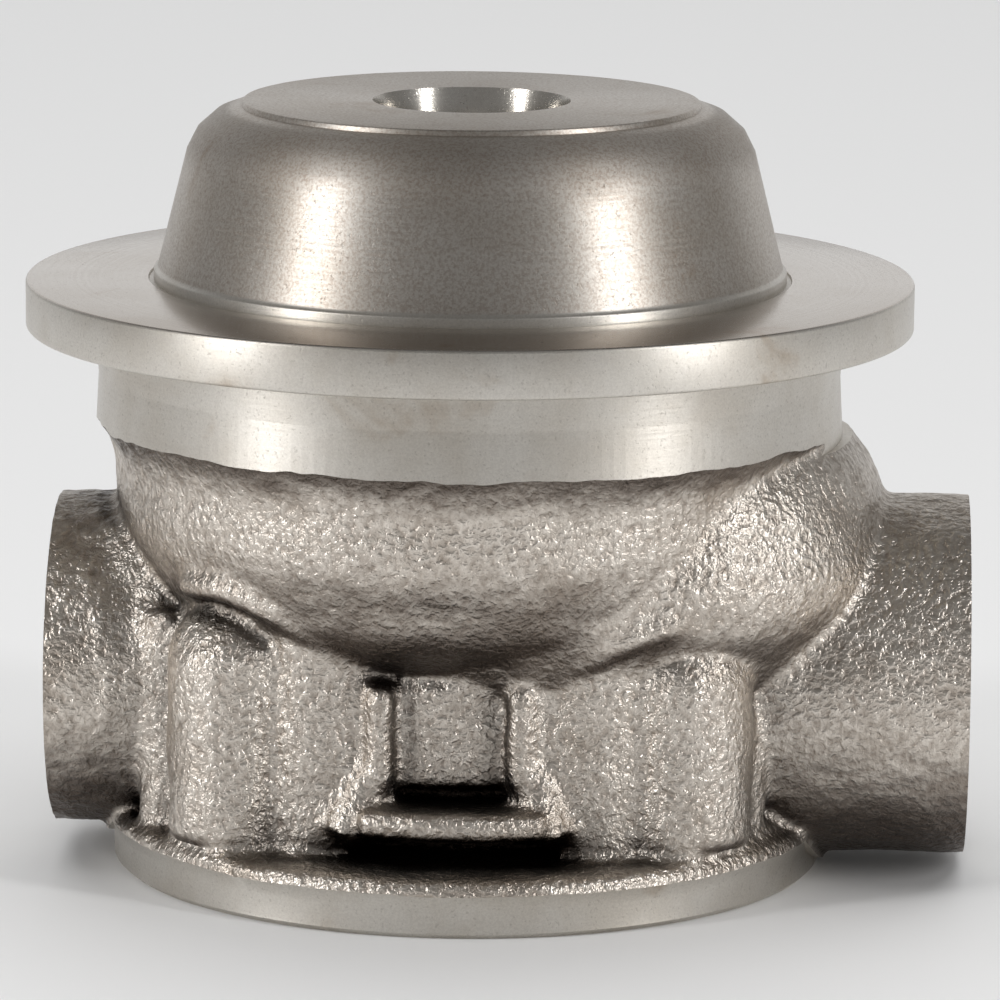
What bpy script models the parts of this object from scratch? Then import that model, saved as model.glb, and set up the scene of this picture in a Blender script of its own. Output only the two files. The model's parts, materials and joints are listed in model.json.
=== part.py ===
# Bearing housing of a small turbocharger, standing on its compressor end with the
# turbine end up, with the bearing, thrust and sealing pieces that it carries.
# Metres, +Z up. The rotor axis is vertical and passes through the empty "rotor_axis".

import math

import bmesh
import bpy
from mathutils import Matrix, Vector

# Casting, turned surfaces, from the turbine end down
NOSE_HEIGHT = 0.0160
NOSE_TOP_R = 0.0244
NOSE_BASE_R = 0.0284
NOSE_EDGE_FILLET = 0.0052
FLANGE_R = 0.0400
FLANGE_THICKNESS = 0.0043
NECK_R = 0.0335
NECK_HEIGHT = 0.0085
FOOT_R = 0.0322
FOOT_HEIGHT = 0.0052
EDGE_CHAMFER = 0.0004

# Casting, raw surfaces
BOWL_R = 0.0318
BOWL_CONE_TOP_Z = 0.0320
BOWL_KNEE_R = 0.0282
BOWL_KNEE_Z = 0.0247
BOWL_LOW_Z = 0.0200
BOWL_FILLET = 0.0060
NECK_STEP_HEIGHT = 0.0009
SKIRT_R = 0.0252
CORE_R = 0.0210

# Four bolt lobes round the compressor end
LOBE_COUNT = 4
LOBE_CIRCLE_R = 0.0237
LOBE_R = 0.0080
LOBE_LOW_Z = 0.0062
LOBE_SHOULDER_Z = 0.0216
LOBE_DOME_HEIGHT = 0.0075
BOLT_HOLE_R = 0.0025
BOLT_HOLE_DEPTH = 0.0150

# Pocket in the skirt between two lobes, front and back, with a ledge under it
POCKET_HALF_WIDTH = 0.0046
POCKET_LOW_Z = 0.0099
LEDGE_HALF_WIDTH = 0.0080
LEDGE_R = 0.0280
LEDGE_THICKNESS = 0.0024

# Oil inlet boss, pointing to -X
INLET_FACE_X = 0.0372
INLET_Z = 0.0176
INLET_BOSS_R = 0.0152
INLET_PORT_R = 0.0052
INLET_PORT_DEPTH = 0.0132
INLET_SPOTFACE_R = 0.0088
INLET_SPOTFACE_DEPTH = 0.0005

# Oil drain boss and the hood over the drain duct, pointing to +X
DRAIN_FACE_X = 0.0453
DRAIN_Z = 0.0173
DRAIN_BOSS_R = 0.0163
BOSS_ROOT_X = 0.0160
DRAIN_BORE_R = 0.0080
DRAIN_BOLT_SPACING = 0.0244
DRAIN_BOLT_HOLE_R = 0.0021
DRAIN_BOLT_HOLE_DEPTH = 0.0110
HOOD_X = 0.0140
HOOD_TOP_R = 0.0206
HOOD_SHOULDER_R = 0.0226
HOOD_SHOULDER_Z = 0.0375
HOOD_R = 0.0251
HOOD_BELLY_Z = 0.0272
HOOD_LOW_R = 0.0200
HOOD_LOW_Z = 0.0190
HOOD_FILLET = 0.0050
HOOD_WIDENING = 1.05

# Rotor line inside the casting
SEAL_BORE_R = 0.0082
SEAL_BORE_CHAMFER = 0.0008
SEAL_WALL = 0.0082
SLINGER_CHAMBER_R = 0.0190
SLINGER_CHAMBER_HEIGHT = 0.0102
SLINGER_CHAMBER_FILLET = 0.0015
CAVITY_R = 0.0262
CAVITY_TOP_DROP = 0.0021
CAVITY_WAIST_Z = 0.0341
CAVITY_LOW_R = 0.0167
CAVITY_LOW_Z = 0.0250
CARRIER_R = 0.0113
CARRIER_LIP = 0.0026
FEED_RIB_HALF_WIDTH = 0.0042
FEED_RIB_TOP_DROP = 0.0039
WINDOW_HALF_WIDTH = 0.0040
WINDOW_END_WALL = 0.0030

# Floating journal bearings
JOURNAL_R = 0.0066
JOURNAL_BORE_R = 0.0040
JOURNAL_LENGTH = 0.0085
JOURNAL_GROOVE_DEPTH = 0.0006
JOURNAL_GROOVE_WIDTH = 0.0028
JOURNAL_OIL_HOLE_R = 0.0009
JOURNAL_OIL_HOLE_PAIRS = 3
JOURNAL_SPACING = 0.0208
RELIEF_DEPTH = 0.0010
RELIEF_END_WALL = 0.0020
SNAP_WIRE_R = 0.0005
SNAP_RING_MOUTH_DEG = 50

# Thrust group and compressor end seal
THRUST_SEAT_Z = 0.0160
THRUST_RECESS_R = 0.0170
THRUST_BEARING_THICKNESS = 0.0037
THRUST_BORE_R = 0.0056
THRUST_PAD_GROOVES = 3
THRUST_GROOVE_WIDTH = 0.0012
THRUST_GROOVE_DEPTH = 0.0005
THRUST_NOTCH_HALF_WIDTH = 0.0050
THRUST_COLLAR_R = 0.0096
THRUST_COLLAR_THICKNESS = 0.0026
SHAFT_END_BORE_R = 0.0033
SLEEVE_FLANGE_THICKNESS = 0.0023
SLEEVE_NECK_R = 0.0062
SLEEVE_LOW_Z = 0.0022
SCREW_CIRCLE_R = 0.0133
SCREW_ANGLES_DEG = (60, 140, 300)
SCREW_SHANK_R = 0.00125
SCREW_HEAD_R = 0.0023
SCREW_HEAD_HEIGHT = 0.0018
SCREW_REACH = 0.0055
SCREW_SOCKET_R = 0.0011
PIN_ANGLES_DEG = (100, 240)
PIN_R = 0.00125
PIN_REACH = 0.0035
SEAL_PLATE_R = 0.0182
SEAL_PLATE_LOW_Z = 0.0030
SEAL_PLATE_THICKNESS = 0.0050
SEAL_PLATE_BORE_R = 0.0066
SEAL_PLATE_DISH_R = 0.0140
SEAL_PLATE_DISH_DEPTH = 0.0014
SEAL_RING_INNER_R = 0.0053
SEAL_RING_THICKNESS = 0.0010
SEAL_RING_SPACING = 0.0020
SEAL_RING_MOUTH_DEG = 8
O_RING_SECTION_R = 0.0009
DEFLECTOR_THICKNESS = 0.0008
DEFLECTOR_BORE_R = 0.0074
CIRCLIP_THICKNESS = 0.0014
CIRCLIP_WIDTH = 0.0020
CIRCLIP_GROOVE_DEPTH = 0.0012
CIRCLIP_LUG_R = 0.0021
CIRCLIP_EYE_R = 0.0008
CIRCLIP_MOUTH_DEG = 46

# Oil drillings
INLET_DRILLING_R = 0.0018
GALLERY_R = 0.0015
GALLERY_MOUTH_X = 0.0142

# Clearances, and how far a cutter runs past the face that it opens
SEAT_GAP = 0.0003
RUNNING_GAP = 0.00012
DRAIN_CLEARANCE = 0.0010
OVERRUN = 0.0050

# Mesh fineness, as steps round a full turn
BODY_STEPS = 52
SKIRT_STEPS = 44
BOSS_STEPS = 36
RECESS_STEPS = 32
BORE_STEPS = 24
LOBE_STEPS = 20
PORT_STEPS = 20
DRILL_STEPS = 10
OIL_HOLE_STEPS = 8
RING_STEPS = 32
FINE_FILLET = 0.0010

# The origin is the middle of the whole part's box, so the rotor axis stands off it
AXIS_X = (FLANGE_R - DRAIN_FACE_X) / 2

# Levels and radii that follow from the sizes above, from the thrust seat up and down
JOURNAL_HOUSING_R = JOURNAL_R + RUNNING_GAP
THRUST_TOP_Z = THRUST_SEAT_Z - SEAT_GAP
THRUST_LOW_Z = THRUST_TOP_Z - THRUST_BEARING_THICKNESS
THRUST_BEARING_R = THRUST_RECESS_R - SEAT_GAP
COLLAR_LOW_Z = THRUST_TOP_Z + SEAT_GAP
COLLAR_TOP_Z = COLLAR_LOW_Z + THRUST_COLLAR_THICKNESS
COLLAR_HUB_R = THRUST_BORE_R - 2 * RUNNING_GAP
COLLAR_WELL_R = THRUST_COLLAR_R + DRAIN_CLEARANCE
COLLAR_WELL_Z = COLLAR_TOP_Z + SEAT_GAP
COMPRESSOR_JOURNAL_Z = COLLAR_WELL_Z
TURBINE_JOURNAL_Z = COMPRESSOR_JOURNAL_Z + JOURNAL_SPACING
CARRIER_TOP_Z = TURBINE_JOURNAL_Z + JOURNAL_LENGTH + CARRIER_LIP
SEAL_WALL_Z = CARRIER_TOP_Z + SLINGER_CHAMBER_HEIGHT
NOSE_TOP_Z = SEAL_WALL_Z + SEAL_WALL
FLANGE_TOP_Z = NOSE_TOP_Z - NOSE_HEIGHT
FLANGE_LOW_Z = FLANGE_TOP_Z - FLANGE_THICKNESS
NECK_LOW_Z = FLANGE_LOW_Z - NECK_HEIGHT
SLEEVE_TOP_Z = THRUST_LOW_Z - SEAT_GAP
SLEEVE_FLANGE_LOW_Z = SLEEVE_TOP_Z - SLEEVE_FLANGE_THICKNESS
SEAL_PLATE_TOP_Z = SEAL_PLATE_LOW_Z + SEAL_PLATE_THICKNESS
SEAL_RECESS_R = SEAL_PLATE_R + SEAT_GAP
SEAL_RECESS_Z = SEAL_PLATE_TOP_Z + SEAT_GAP
SEAL_RING_R = SEAL_PLATE_BORE_R - RUNNING_GAP
DEFLECTOR_LOW_Z = SEAL_PLATE_TOP_Z + SEAT_GAP
CIRCLIP_LOW_Z = SEAL_PLATE_LOW_Z - SEAT_GAP - CIRCLIP_THICKNESS
SNAP_WIRE_CIRCLE_R = JOURNAL_HOUSING_R + SNAP_WIRE_R / 2
SNAP_GROOVE_R = SNAP_WIRE_CIRCLE_R + SNAP_WIRE_R + SEAT_GAP


# Scene, collections and materials

for item in list(bpy.data.objects):
    bpy.data.objects.remove(item, do_unlink=True)

parts = bpy.data.collections.new("turbo_bearing_housing")
cutters = bpy.data.collections.new("cutters")
bpy.context.scene.collection.children.link(parts)
bpy.context.scene.collection.children.link(cutters)

rotor_axis = bpy.data.objects.new("rotor_axis", None)
rotor_axis.location = (AXIS_X, 0, 0)
parts.objects.link(rotor_axis)


def material(name, colour, roughness, metallic):
    made = bpy.data.materials.new(name)
    made.use_nodes = True
    shader = made.node_tree.nodes["Principled BSDF"]
    shader.inputs["Base Color"].default_value = (*colour, 1)
    shader.inputs["Roughness"].default_value = roughness
    shader.inputs["Metallic"].default_value = metallic
    return made


CAST_IRON = material("cast_iron", (0.42, 0.40, 0.38), 0.42, 1.0)
BRONZE = material("bearing_bronze", (0.62, 0.45, 0.22), 0.30, 1.0)
GROUND_STEEL = material("ground_steel", (0.55, 0.55, 0.56), 0.22, 1.0)
SPRING_STEEL = material("spring_steel", (0.20, 0.20, 0.21), 0.35, 1.0)
SHEET_STEEL = material("sheet_steel", (0.48, 0.48, 0.47), 0.35, 1.0)
SCREW_STEEL = material("screw_steel", (0.12, 0.12, 0.13), 0.40, 1.0)
SEAL_RUBBER = material("seal_rubber", (0.02, 0.02, 0.02), 0.65, 0.0)


# Building blocks

def place(name, mesh, finish=None, location=(0, 0, 0), turn=None):
    # A piece with a finish is a part, one without is a guide for a Boolean
    made = bpy.data.objects.new(name, mesh)
    made.parent = rotor_axis
    made.location = location
    if turn is not None:
        made.rotation_euler = turn
    if finish is None:
        cutters.objects.link(made)
        made.hide_render = True
        made.display_type = "WIRE"
    else:
        parts.objects.link(made)
        made.data.materials.append(finish)
    return made


def mesh_from(build, name):
    shape = bmesh.new()
    build(shape)
    mesh = bpy.data.meshes.new(name)
    shape.to_mesh(mesh)
    shape.free()
    return mesh


def rounded_corners(corners, closed):
    # Corners are (r, z) or (r, z, fillet radius); each filleted one becomes an arc
    points = []
    count = len(corners)
    for index, corner in enumerate(corners):
        here = Vector(corner[:2])
        fillet = corner[2] if len(corner) > 2 else 0
        inner = closed or 0 < index < count - 1
        if not fillet or not inner:
            points.append(here)
            continue
        to_last = (Vector(corners[index - 1][:2]) - here).normalized()
        to_next = (Vector(corners[(index + 1) % count][:2]) - here).normalized()
        half = to_last.angle(to_next) / 2
        centre = here + (to_last + to_next).normalized() * (fillet / math.sin(half))
        start = here + to_last * (fillet / math.tan(half)) - centre
        sweep = start.angle_signed(here + to_next * (fillet / math.tan(half)) - centre)
        steps = 1 if fillet < FINE_FILLET else max(2, round(abs(sweep) / math.radians(25)))
        for step in range(steps + 1):
            points.append(centre + Matrix.Rotation(-sweep * step / steps, 2) @ start)
    return points


def turned(name, corners, finish=None, closed=False, steps=BORE_STEPS, location=(0, 0, 0)):
    # Solid of revolution about the rotor axis; the outline runs down its outer side
    points = rounded_corners(corners, closed)

    def build(shape):
        verts = [shape.verts.new((point.x, 0, point.y)) for point in points]
        for first, second in zip(verts, verts[1:]):
            shape.edges.new((first, second))
        if closed:
            shape.edges.new((verts[-1], verts[0]))

    made = place(name, mesh_from(build, name), finish, location)
    screw = made.modifiers.new("turn", "SCREW")
    screw.axis = "Z"
    screw.angle = math.tau
    screw.steps = steps
    screw.render_steps = steps
    screw.use_merge_vertices = True
    screw.merge_threshold = 0.00001
    screw.use_smooth_shade = finish is not None
    return made


def ring(name, outer, inner, low, high, finish=None, chamfer=0, steps=BORE_STEPS):
    # Plain bush or washer, with small chamfers on its outer edges
    corners = [
        (inner, high), (outer - chamfer, high), (outer, high - chamfer),
        (outer, low + chamfer), (outer - chamfer, low), (inner, low),
    ]
    if not chamfer:
        corners = [(inner, high), (outer, high), (outer, low), (inner, low)]
    return turned(name, corners, finish, closed=True, steps=steps)


def plug(name, radius, start, end, steps=DRILL_STEPS):
    # Cylinder between two points, for a drilling or a boss
    start, end = Vector(start), Vector(end)
    along = end - start

    def build(shape):
        bmesh.ops.create_cone(
            shape, cap_ends=True, segments=steps, radius1=radius, radius2=radius, depth=along.length)

    turn = along.to_track_quat("Z", "Y").to_euler()
    return place(name, mesh_from(build, name), None, (start + end) / 2, turn)


def block(name, low, high, edge=0):
    # Box between two corners, with optional rounded edges
    low, high = Vector(low), Vector(high)

    def build(shape):
        bmesh.ops.create_cube(shape, size=1)
        bmesh.ops.scale(shape, vec=high - low, verts=shape.verts)

    made = place(name, mesh_from(build, name), None, (low + high) / 2)
    if edge:
        bevel = made.modifiers.new("edges", "BEVEL")
        bevel.width = edge
        bevel.segments = 2
    return made


def combine(target, pieces, operation):
    for piece in pieces:
        step = target.modifiers.new(piece.name, "BOOLEAN")
        step.operation = operation
        step.object = piece
        step.solver = "EXACT"


def round_the_axis(radius, degrees, height=0.0):
    angle = math.radians(degrees)
    return Vector((radius * math.cos(angle), radius * math.sin(angle), height))


def flat_piece(name, outlines, thickness, low, finish=None):
    # Flat outline lying across the axis; later outlines are holes in the first
    curve = bpy.data.curves.new(name, "CURVE")
    curve.dimensions = "2D"
    curve.fill_mode = "BOTH"
    curve.extrude = thickness / 2
    for outline in outlines:
        spline = curve.splines.new("POLY")
        spline.points.add(len(outline) - 1)
        for point, (x, y) in zip(spline.points, outline):
            point.co = (x, y, 0, 1)
        spline.use_cyclic_u = True
    return meshed(name, curve, (0, 0, low + thickness / 2), finish)


def meshed(name, curve, location, finish):
    # Turns a curve into a closed mesh, so that it can be cut and joined
    drawn = bpy.data.objects.new(name + "_curve", curve)
    bpy.context.scene.collection.objects.link(drawn)
    bpy.context.view_layer.update()
    evaluated = drawn.evaluated_get(bpy.context.evaluated_depsgraph_get())
    mesh = bpy.data.meshes.new_from_object(evaluated)
    mesh.materials.clear()
    shape = bmesh.new()
    shape.from_mesh(mesh)
    bmesh.ops.remove_doubles(shape, verts=shape.verts, dist=0.000001)
    shape.to_mesh(mesh)
    shape.free()
    bpy.data.objects.remove(drawn, do_unlink=True)
    return place(name, mesh, finish, location)


def arc(radius, first_deg, last_deg, steps, centre=(0, 0)):
    points = []
    for step in range(steps + 1):
        angle = math.radians(first_deg + (last_deg - first_deg) * step / steps)
        points.append((centre[0] + radius * math.cos(angle), centre[1] + radius * math.sin(angle)))
    return points


# The casting

def turned_body():
    return turned("housing_casting", [
        (0, NOSE_TOP_Z),
        (NOSE_TOP_R, NOSE_TOP_Z, NOSE_EDGE_FILLET),
        (NOSE_BASE_R, FLANGE_TOP_Z, EDGE_CHAMFER),
        (FLANGE_R, FLANGE_TOP_Z, EDGE_CHAMFER),
        (FLANGE_R, FLANGE_LOW_Z, EDGE_CHAMFER),
        (NECK_R, FLANGE_LOW_Z, EDGE_CHAMFER),
        (NECK_R, NECK_LOW_Z),
        (BOWL_R, NECK_LOW_Z - NECK_STEP_HEIGHT),
        (BOWL_R, BOWL_CONE_TOP_Z, BOWL_FILLET),
        (BOWL_KNEE_R, BOWL_KNEE_Z, BOWL_FILLET),
        (CORE_R, BOWL_LOW_Z, 2 * EDGE_CHAMFER),
        (CORE_R, FOOT_HEIGHT),
        (FOOT_R, FOOT_HEIGHT, EDGE_CHAMFER),
        (FOOT_R, 0, EDGE_CHAMFER),
        (0, 0),
    ], CAST_IRON, steps=BODY_STEPS)


def lobes():
    # Round lobes with domed tops, one for each bolt
    dome_steps = LOBE_STEPS // 4
    outline = []
    for step in range(dome_steps + 1):
        angle = math.radians(90 - 90 * step / dome_steps)
        outline.append((LOBE_R * math.cos(angle), LOBE_SHOULDER_Z + LOBE_DOME_HEIGHT * math.sin(angle)))
    outline += [(LOBE_R, LOBE_LOW_Z), (0, LOBE_LOW_Z)]
    pieces = []
    for number in range(LOBE_COUNT):
        angle = 360 / LOBE_COUNT * (number + 0.5)
        pieces.append(turned(
            f"lobe_{number}", outline, steps=LOBE_STEPS, location=round_the_axis(LOBE_CIRCLE_R, angle)))
    return pieces


def skirt_with_pockets():
    # Wall that joins the lobes under the bowl, cut back to the core in two places
    skirt = turned("skirt", [
        (0, BOWL_KNEE_Z), (SKIRT_R, BOWL_KNEE_Z), (SKIRT_R, FOOT_HEIGHT / 2), (0, FOOT_HEIGHT / 2),
    ], steps=SKIRT_STEPS)
    pieces = [skirt]
    for side in (-1, 1):
        near, far = sorted((side * (CORE_R - EDGE_CHAMFER), side * FOOT_R))
        hollow = block(
            f"pocket_hollow_{side}", (-POCKET_HALF_WIDTH, near, POCKET_LOW_Z),
            (POCKET_HALF_WIDTH, far, BOWL_CONE_TOP_Z))
        combine(skirt, [hollow], "DIFFERENCE")
        near, far = sorted((side * (CORE_R - EDGE_CHAMFER), side * LEDGE_R))
        pieces.append(block(
            f"pocket_ledge_{side}", (-LEDGE_HALF_WIDTH, near, POCKET_LOW_Z - LEDGE_THICKNESS),
            (LEDGE_HALF_WIDTH, far, POCKET_LOW_Z + EDGE_CHAMFER / 2), EDGE_CHAMFER))
    return pieces


def inlet_boss():
    return plug(
        "inlet_boss", INLET_BOSS_R, (-BOSS_ROOT_X, 0, INLET_Z), (-INLET_FACE_X, 0, INLET_Z), BOSS_STEPS)


def drain_boss():
    return plug(
        "drain_boss", DRAIN_BOSS_R, (BOSS_ROOT_X, 0, DRAIN_Z), (DRAIN_FACE_X, 0, DRAIN_Z), BOSS_STEPS)


def drain_hood():
    # Swelling of the wall over the drain duct, a little wider across than along X
    hood = turned("drain_hood", [
        (0, NECK_LOW_Z - NECK_STEP_HEIGHT),
        (HOOD_TOP_R, NECK_LOW_Z - NECK_STEP_HEIGHT),
        (HOOD_SHOULDER_R, HOOD_SHOULDER_Z, HOOD_FILLET),
        (HOOD_R, HOOD_BELLY_Z, HOOD_FILLET),
        (HOOD_LOW_R, HOOD_LOW_Z),
        (0, HOOD_LOW_Z),
    ], steps=BOSS_STEPS, location=(HOOD_X, 0, 0))
    hood.scale = (1, HOOD_WIDENING, 1)
    return hood


def drain_cavity():
    # Space round the bearing carrier, kept solid where the feed rib crosses it
    cavity = turned("drain_cavity", [
        (0, SEAL_WALL_Z),
        (SLINGER_CHAMBER_R, SEAL_WALL_Z, SLINGER_CHAMBER_FILLET),
        (SLINGER_CHAMBER_R, FLANGE_TOP_Z),
        (CAVITY_R, FLANGE_LOW_Z - CAVITY_TOP_DROP),
        (CAVITY_R, CAVITY_WAIST_Z),
        (CAVITY_LOW_R, CAVITY_LOW_Z),
        (CARRIER_R, CAVITY_LOW_Z),
        (CARRIER_R, CARRIER_TOP_Z),
        (0, CARRIER_TOP_Z),
    ], steps=RECESS_STEPS)
    rib = block(
        "feed_rib", (-FLANGE_R, -FEED_RIB_HALF_WIDTH, FOOT_HEIGHT),
        (-JOURNAL_HOUSING_R, FEED_RIB_HALF_WIDTH, CARRIER_TOP_Z - FEED_RIB_TOP_DROP))
    combine(cavity, [rib], "DIFFERENCE")
    return cavity


def snap_ring_levels():
    low = COMPRESSOR_JOURNAL_Z + JOURNAL_LENGTH + SEAT_GAP + SNAP_WIRE_R
    return {
        "compressor_bearing_snap_ring": low,
        "turbine_bearing_inner_snap_ring": TURBINE_JOURNAL_Z - SEAT_GAP - SNAP_WIRE_R,
        "turbine_bearing_outer_snap_ring": TURBINE_JOURNAL_Z + JOURNAL_LENGTH + SEAT_GAP + SNAP_WIRE_R,
    }


def between_snap_rings(end_wall):
    # Stretch of the bearing bore between the two inner snap rings, less a wall at each end
    levels = snap_ring_levels()
    low = levels["compressor_bearing_snap_ring"] + end_wall
    return low, levels["turbine_bearing_inner_snap_ring"] - end_wall


def journal_bore():
    levels = snap_ring_levels()
    groove_half = SNAP_WIRE_R + SEAT_GAP
    relief_low, relief_high = between_snap_rings(RELIEF_END_WALL)
    edge = JOURNAL_HOUSING_R
    grooves = [
        (levels["turbine_bearing_outer_snap_ring"], groove_half, SNAP_GROOVE_R),
        (levels["turbine_bearing_inner_snap_ring"], groove_half, SNAP_GROOVE_R),
        ((relief_low + relief_high) / 2, (relief_high - relief_low) / 2, edge + RELIEF_DEPTH),
        (levels["compressor_bearing_snap_ring"], groove_half, SNAP_GROOVE_R),
    ]
    corners = [(0, CARRIER_TOP_Z + OVERRUN), (edge, CARRIER_TOP_Z + OVERRUN)]
    for middle, half, radius in grooves:
        corners += [(edge, middle + half), (radius, middle + half)]
        corners += [(radius, middle - half), (edge, middle - half)]
    corners += [(edge, COLLAR_WELL_Z - SEAT_GAP), (0, COLLAR_WELL_Z - SEAT_GAP)]
    return turned("journal_bore", corners)


def thrust_and_seal_recess():
    groove_r = SEAL_RECESS_R + CIRCLIP_GROOVE_DEPTH
    groove_high = CIRCLIP_LOW_Z + CIRCLIP_THICKNESS + SEAT_GAP / 2
    groove_low = CIRCLIP_LOW_Z - SEAT_GAP / 2
    return turned("thrust_and_seal_recess", [
        (0, COLLAR_WELL_Z),
        (COLLAR_WELL_R, COLLAR_WELL_Z),
        (COLLAR_WELL_R, THRUST_SEAT_Z),
        (THRUST_RECESS_R, THRUST_SEAT_Z),
        (THRUST_RECESS_R, SEAL_RECESS_Z),
        (SEAL_RECESS_R, SEAL_RECESS_Z),
        (SEAL_RECESS_R, groove_high),
        (groove_r, groove_high),
        (groove_r, groove_low),
        (SEAL_RECESS_R, groove_low),
        (SEAL_RECESS_R, EDGE_CHAMFER),
        (SEAL_RECESS_R + EDGE_CHAMFER + OVERRUN, -OVERRUN),
        (0, -OVERRUN),
    ], steps=RECESS_STEPS)


def turbine_seal_bore():
    return turned("turbine_seal_bore", [
        (0, NOSE_TOP_Z + OVERRUN),
        (SEAL_BORE_R + SEAL_BORE_CHAMFER + OVERRUN, NOSE_TOP_Z + OVERRUN),
        (SEAL_BORE_R, NOSE_TOP_Z - SEAL_BORE_CHAMFER),
        (SEAL_BORE_R, SEAL_WALL_Z - OVERRUN / 2),
        (0, SEAL_WALL_Z - OVERRUN / 2),
    ])


def oil_inlet_cuts():
    # Port, spot face and the two drillings that feed the bearings and the thrust bearing
    port_floor = -INLET_FACE_X + INLET_PORT_DEPTH
    outside = (-INLET_FACE_X - OVERRUN, 0, INLET_Z)
    groove_x = -JOURNAL_HOUSING_R + JOURNAL_GROOVE_DEPTH
    compressor_feed = Vector((groove_x, 0, COMPRESSOR_JOURNAL_Z + JOURNAL_LENGTH / 2))
    turbine_feed = Vector((groove_x, 0, TURBINE_JOURNAL_Z + JOURNAL_LENGTH / 2))
    gallery_mouth = Vector((-GALLERY_MOUTH_X, 0, THRUST_SEAT_Z))
    gallery_mouth += (gallery_mouth - turbine_feed).normalized() * DRAIN_CLEARANCE
    return [
        plug("inlet_port", INLET_PORT_R, outside, (port_floor, 0, INLET_Z), PORT_STEPS),
        plug(
            "inlet_spotface", INLET_SPOTFACE_R, outside,
            (-INLET_FACE_X + INLET_SPOTFACE_DEPTH, 0, INLET_Z), PORT_STEPS),
        plug(
            "compressor_feed_drilling", INLET_DRILLING_R,
            (port_floor - DRAIN_CLEARANCE, 0, INLET_Z), compressor_feed),
        plug("turbine_feed_gallery", GALLERY_R, gallery_mouth, turbine_feed),
    ]


def oil_drain_cuts():
    start_x = CARRIER_R + DRAIN_CLEARANCE
    throat_half_width = DRAIN_BORE_R - DRAIN_CLEARANCE
    window_low, window_high = between_snap_rings(WINDOW_END_WALL)
    cuts = [
        plug(
            "drain_bore", DRAIN_BORE_R, (start_x, 0, DRAIN_Z),
            (DRAIN_FACE_X + OVERRUN, 0, DRAIN_Z), PORT_STEPS),
        block(
            "drain_throat", (start_x, -throat_half_width, DRAIN_Z),
            (CAVITY_R - DRAIN_CLEARANCE, throat_half_width, BOWL_CONE_TOP_Z)),
        block(
            "drain_window", (JOURNAL_BORE_R, -WINDOW_HALF_WIDTH, window_low),
            (CARRIER_R + OVERRUN, WINDOW_HALF_WIDTH, window_high)),
    ]
    for side in (-1, 1):
        y = side * DRAIN_BOLT_SPACING / 2
        cuts.append(plug(
            f"drain_bolt_hole_{side}", DRAIN_BOLT_HOLE_R,
            (DRAIN_FACE_X - DRAIN_BOLT_HOLE_DEPTH, y, DRAIN_Z), (DRAIN_FACE_X + OVERRUN, y, DRAIN_Z)))
    return cuts


def hole_along_axis(name, radius, circle_r, degrees, low, high):
    return plug(
        name, radius, round_the_axis(circle_r, degrees, low), round_the_axis(circle_r, degrees, high))


def fixing_holes():
    cuts = []
    for number in range(LOBE_COUNT):
        angle = 360 / LOBE_COUNT * (number + 0.5)
        cuts.append(hole_along_axis(
            f"bolt_hole_{number}", BOLT_HOLE_R, LOBE_CIRCLE_R, angle, -OVERRUN, BOLT_HOLE_DEPTH))
    low = THRUST_SEAT_Z - SEAT_GAP
    for angle in SCREW_ANGLES_DEG:
        cuts.append(hole_along_axis(
            f"screw_hole_{angle}", SCREW_SHANK_R + SEAT_GAP, SCREW_CIRCLE_R, angle, low,
            THRUST_SEAT_Z + SCREW_REACH + SEAT_GAP))
    for angle in PIN_ANGLES_DEG:
        cuts.append(hole_along_axis(
            f"pin_hole_{angle}", PIN_R + SEAT_GAP, SCREW_CIRCLE_R, angle, low,
            THRUST_SEAT_Z + PIN_REACH + SEAT_GAP))
    return cuts


def make_casting():
    casting = turned_body()
    combine(casting, skirt_with_pockets() + lobes() + [inlet_boss(), drain_boss(), drain_hood()], "UNION")
    bores = [drain_cavity(), journal_bore(), thrust_and_seal_recess(), turbine_seal_bore()]
    combine(casting, bores + oil_inlet_cuts() + oil_drain_cuts() + fixing_holes(), "DIFFERENCE")


# Bearings and their snap rings

def make_journal_bearing(name, low):
    middle = low + JOURNAL_LENGTH / 2
    half = JOURNAL_LENGTH / 2
    groove = JOURNAL_GROOVE_WIDTH / 2
    bearing = turned(name, [
        (JOURNAL_BORE_R, half), (JOURNAL_R - EDGE_CHAMFER, half), (JOURNAL_R, half - EDGE_CHAMFER),
        (JOURNAL_R, groove), (JOURNAL_R - JOURNAL_GROOVE_DEPTH, groove),
        (JOURNAL_R - JOURNAL_GROOVE_DEPTH, -groove), (JOURNAL_R, -groove),
        (JOURNAL_R, -half + EDGE_CHAMFER), (JOURNAL_R - EDGE_CHAMFER, -half), (JOURNAL_BORE_R, -half),
    ], BRONZE, closed=True, location=(0, 0, middle))
    holes = []
    for number in range(JOURNAL_OIL_HOLE_PAIRS):
        across = round_the_axis(JOURNAL_R + OVERRUN, 180 / JOURNAL_OIL_HOLE_PAIRS * number)
        centre = Vector((0, 0, middle))
        holes.append(plug(
            f"{name}_hole_{number}", JOURNAL_OIL_HOLE_R, centre - across, centre + across, OIL_HOLE_STEPS))
    combine(bearing, holes, "DIFFERENCE")


def make_snap_ring(name, level):
    curve = bpy.data.curves.new(name, "CURVE")
    curve.dimensions = "3D"
    curve.bevel_depth = SNAP_WIRE_R
    curve.bevel_resolution = 1
    curve.use_fill_caps = True
    spline = curve.splines.new("POLY")
    mouth = SNAP_RING_MOUTH_DEG / 2
    points = arc(SNAP_WIRE_CIRCLE_R, mouth, 360 - mouth, PORT_STEPS)
    spline.points.add(len(points) - 1)
    for point, (x, y) in zip(spline.points, points):
        point.co = (x, y, 0, 1)
    meshed(name, curve, (0, 0, level), SPRING_STEEL)


# Thrust group

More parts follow.
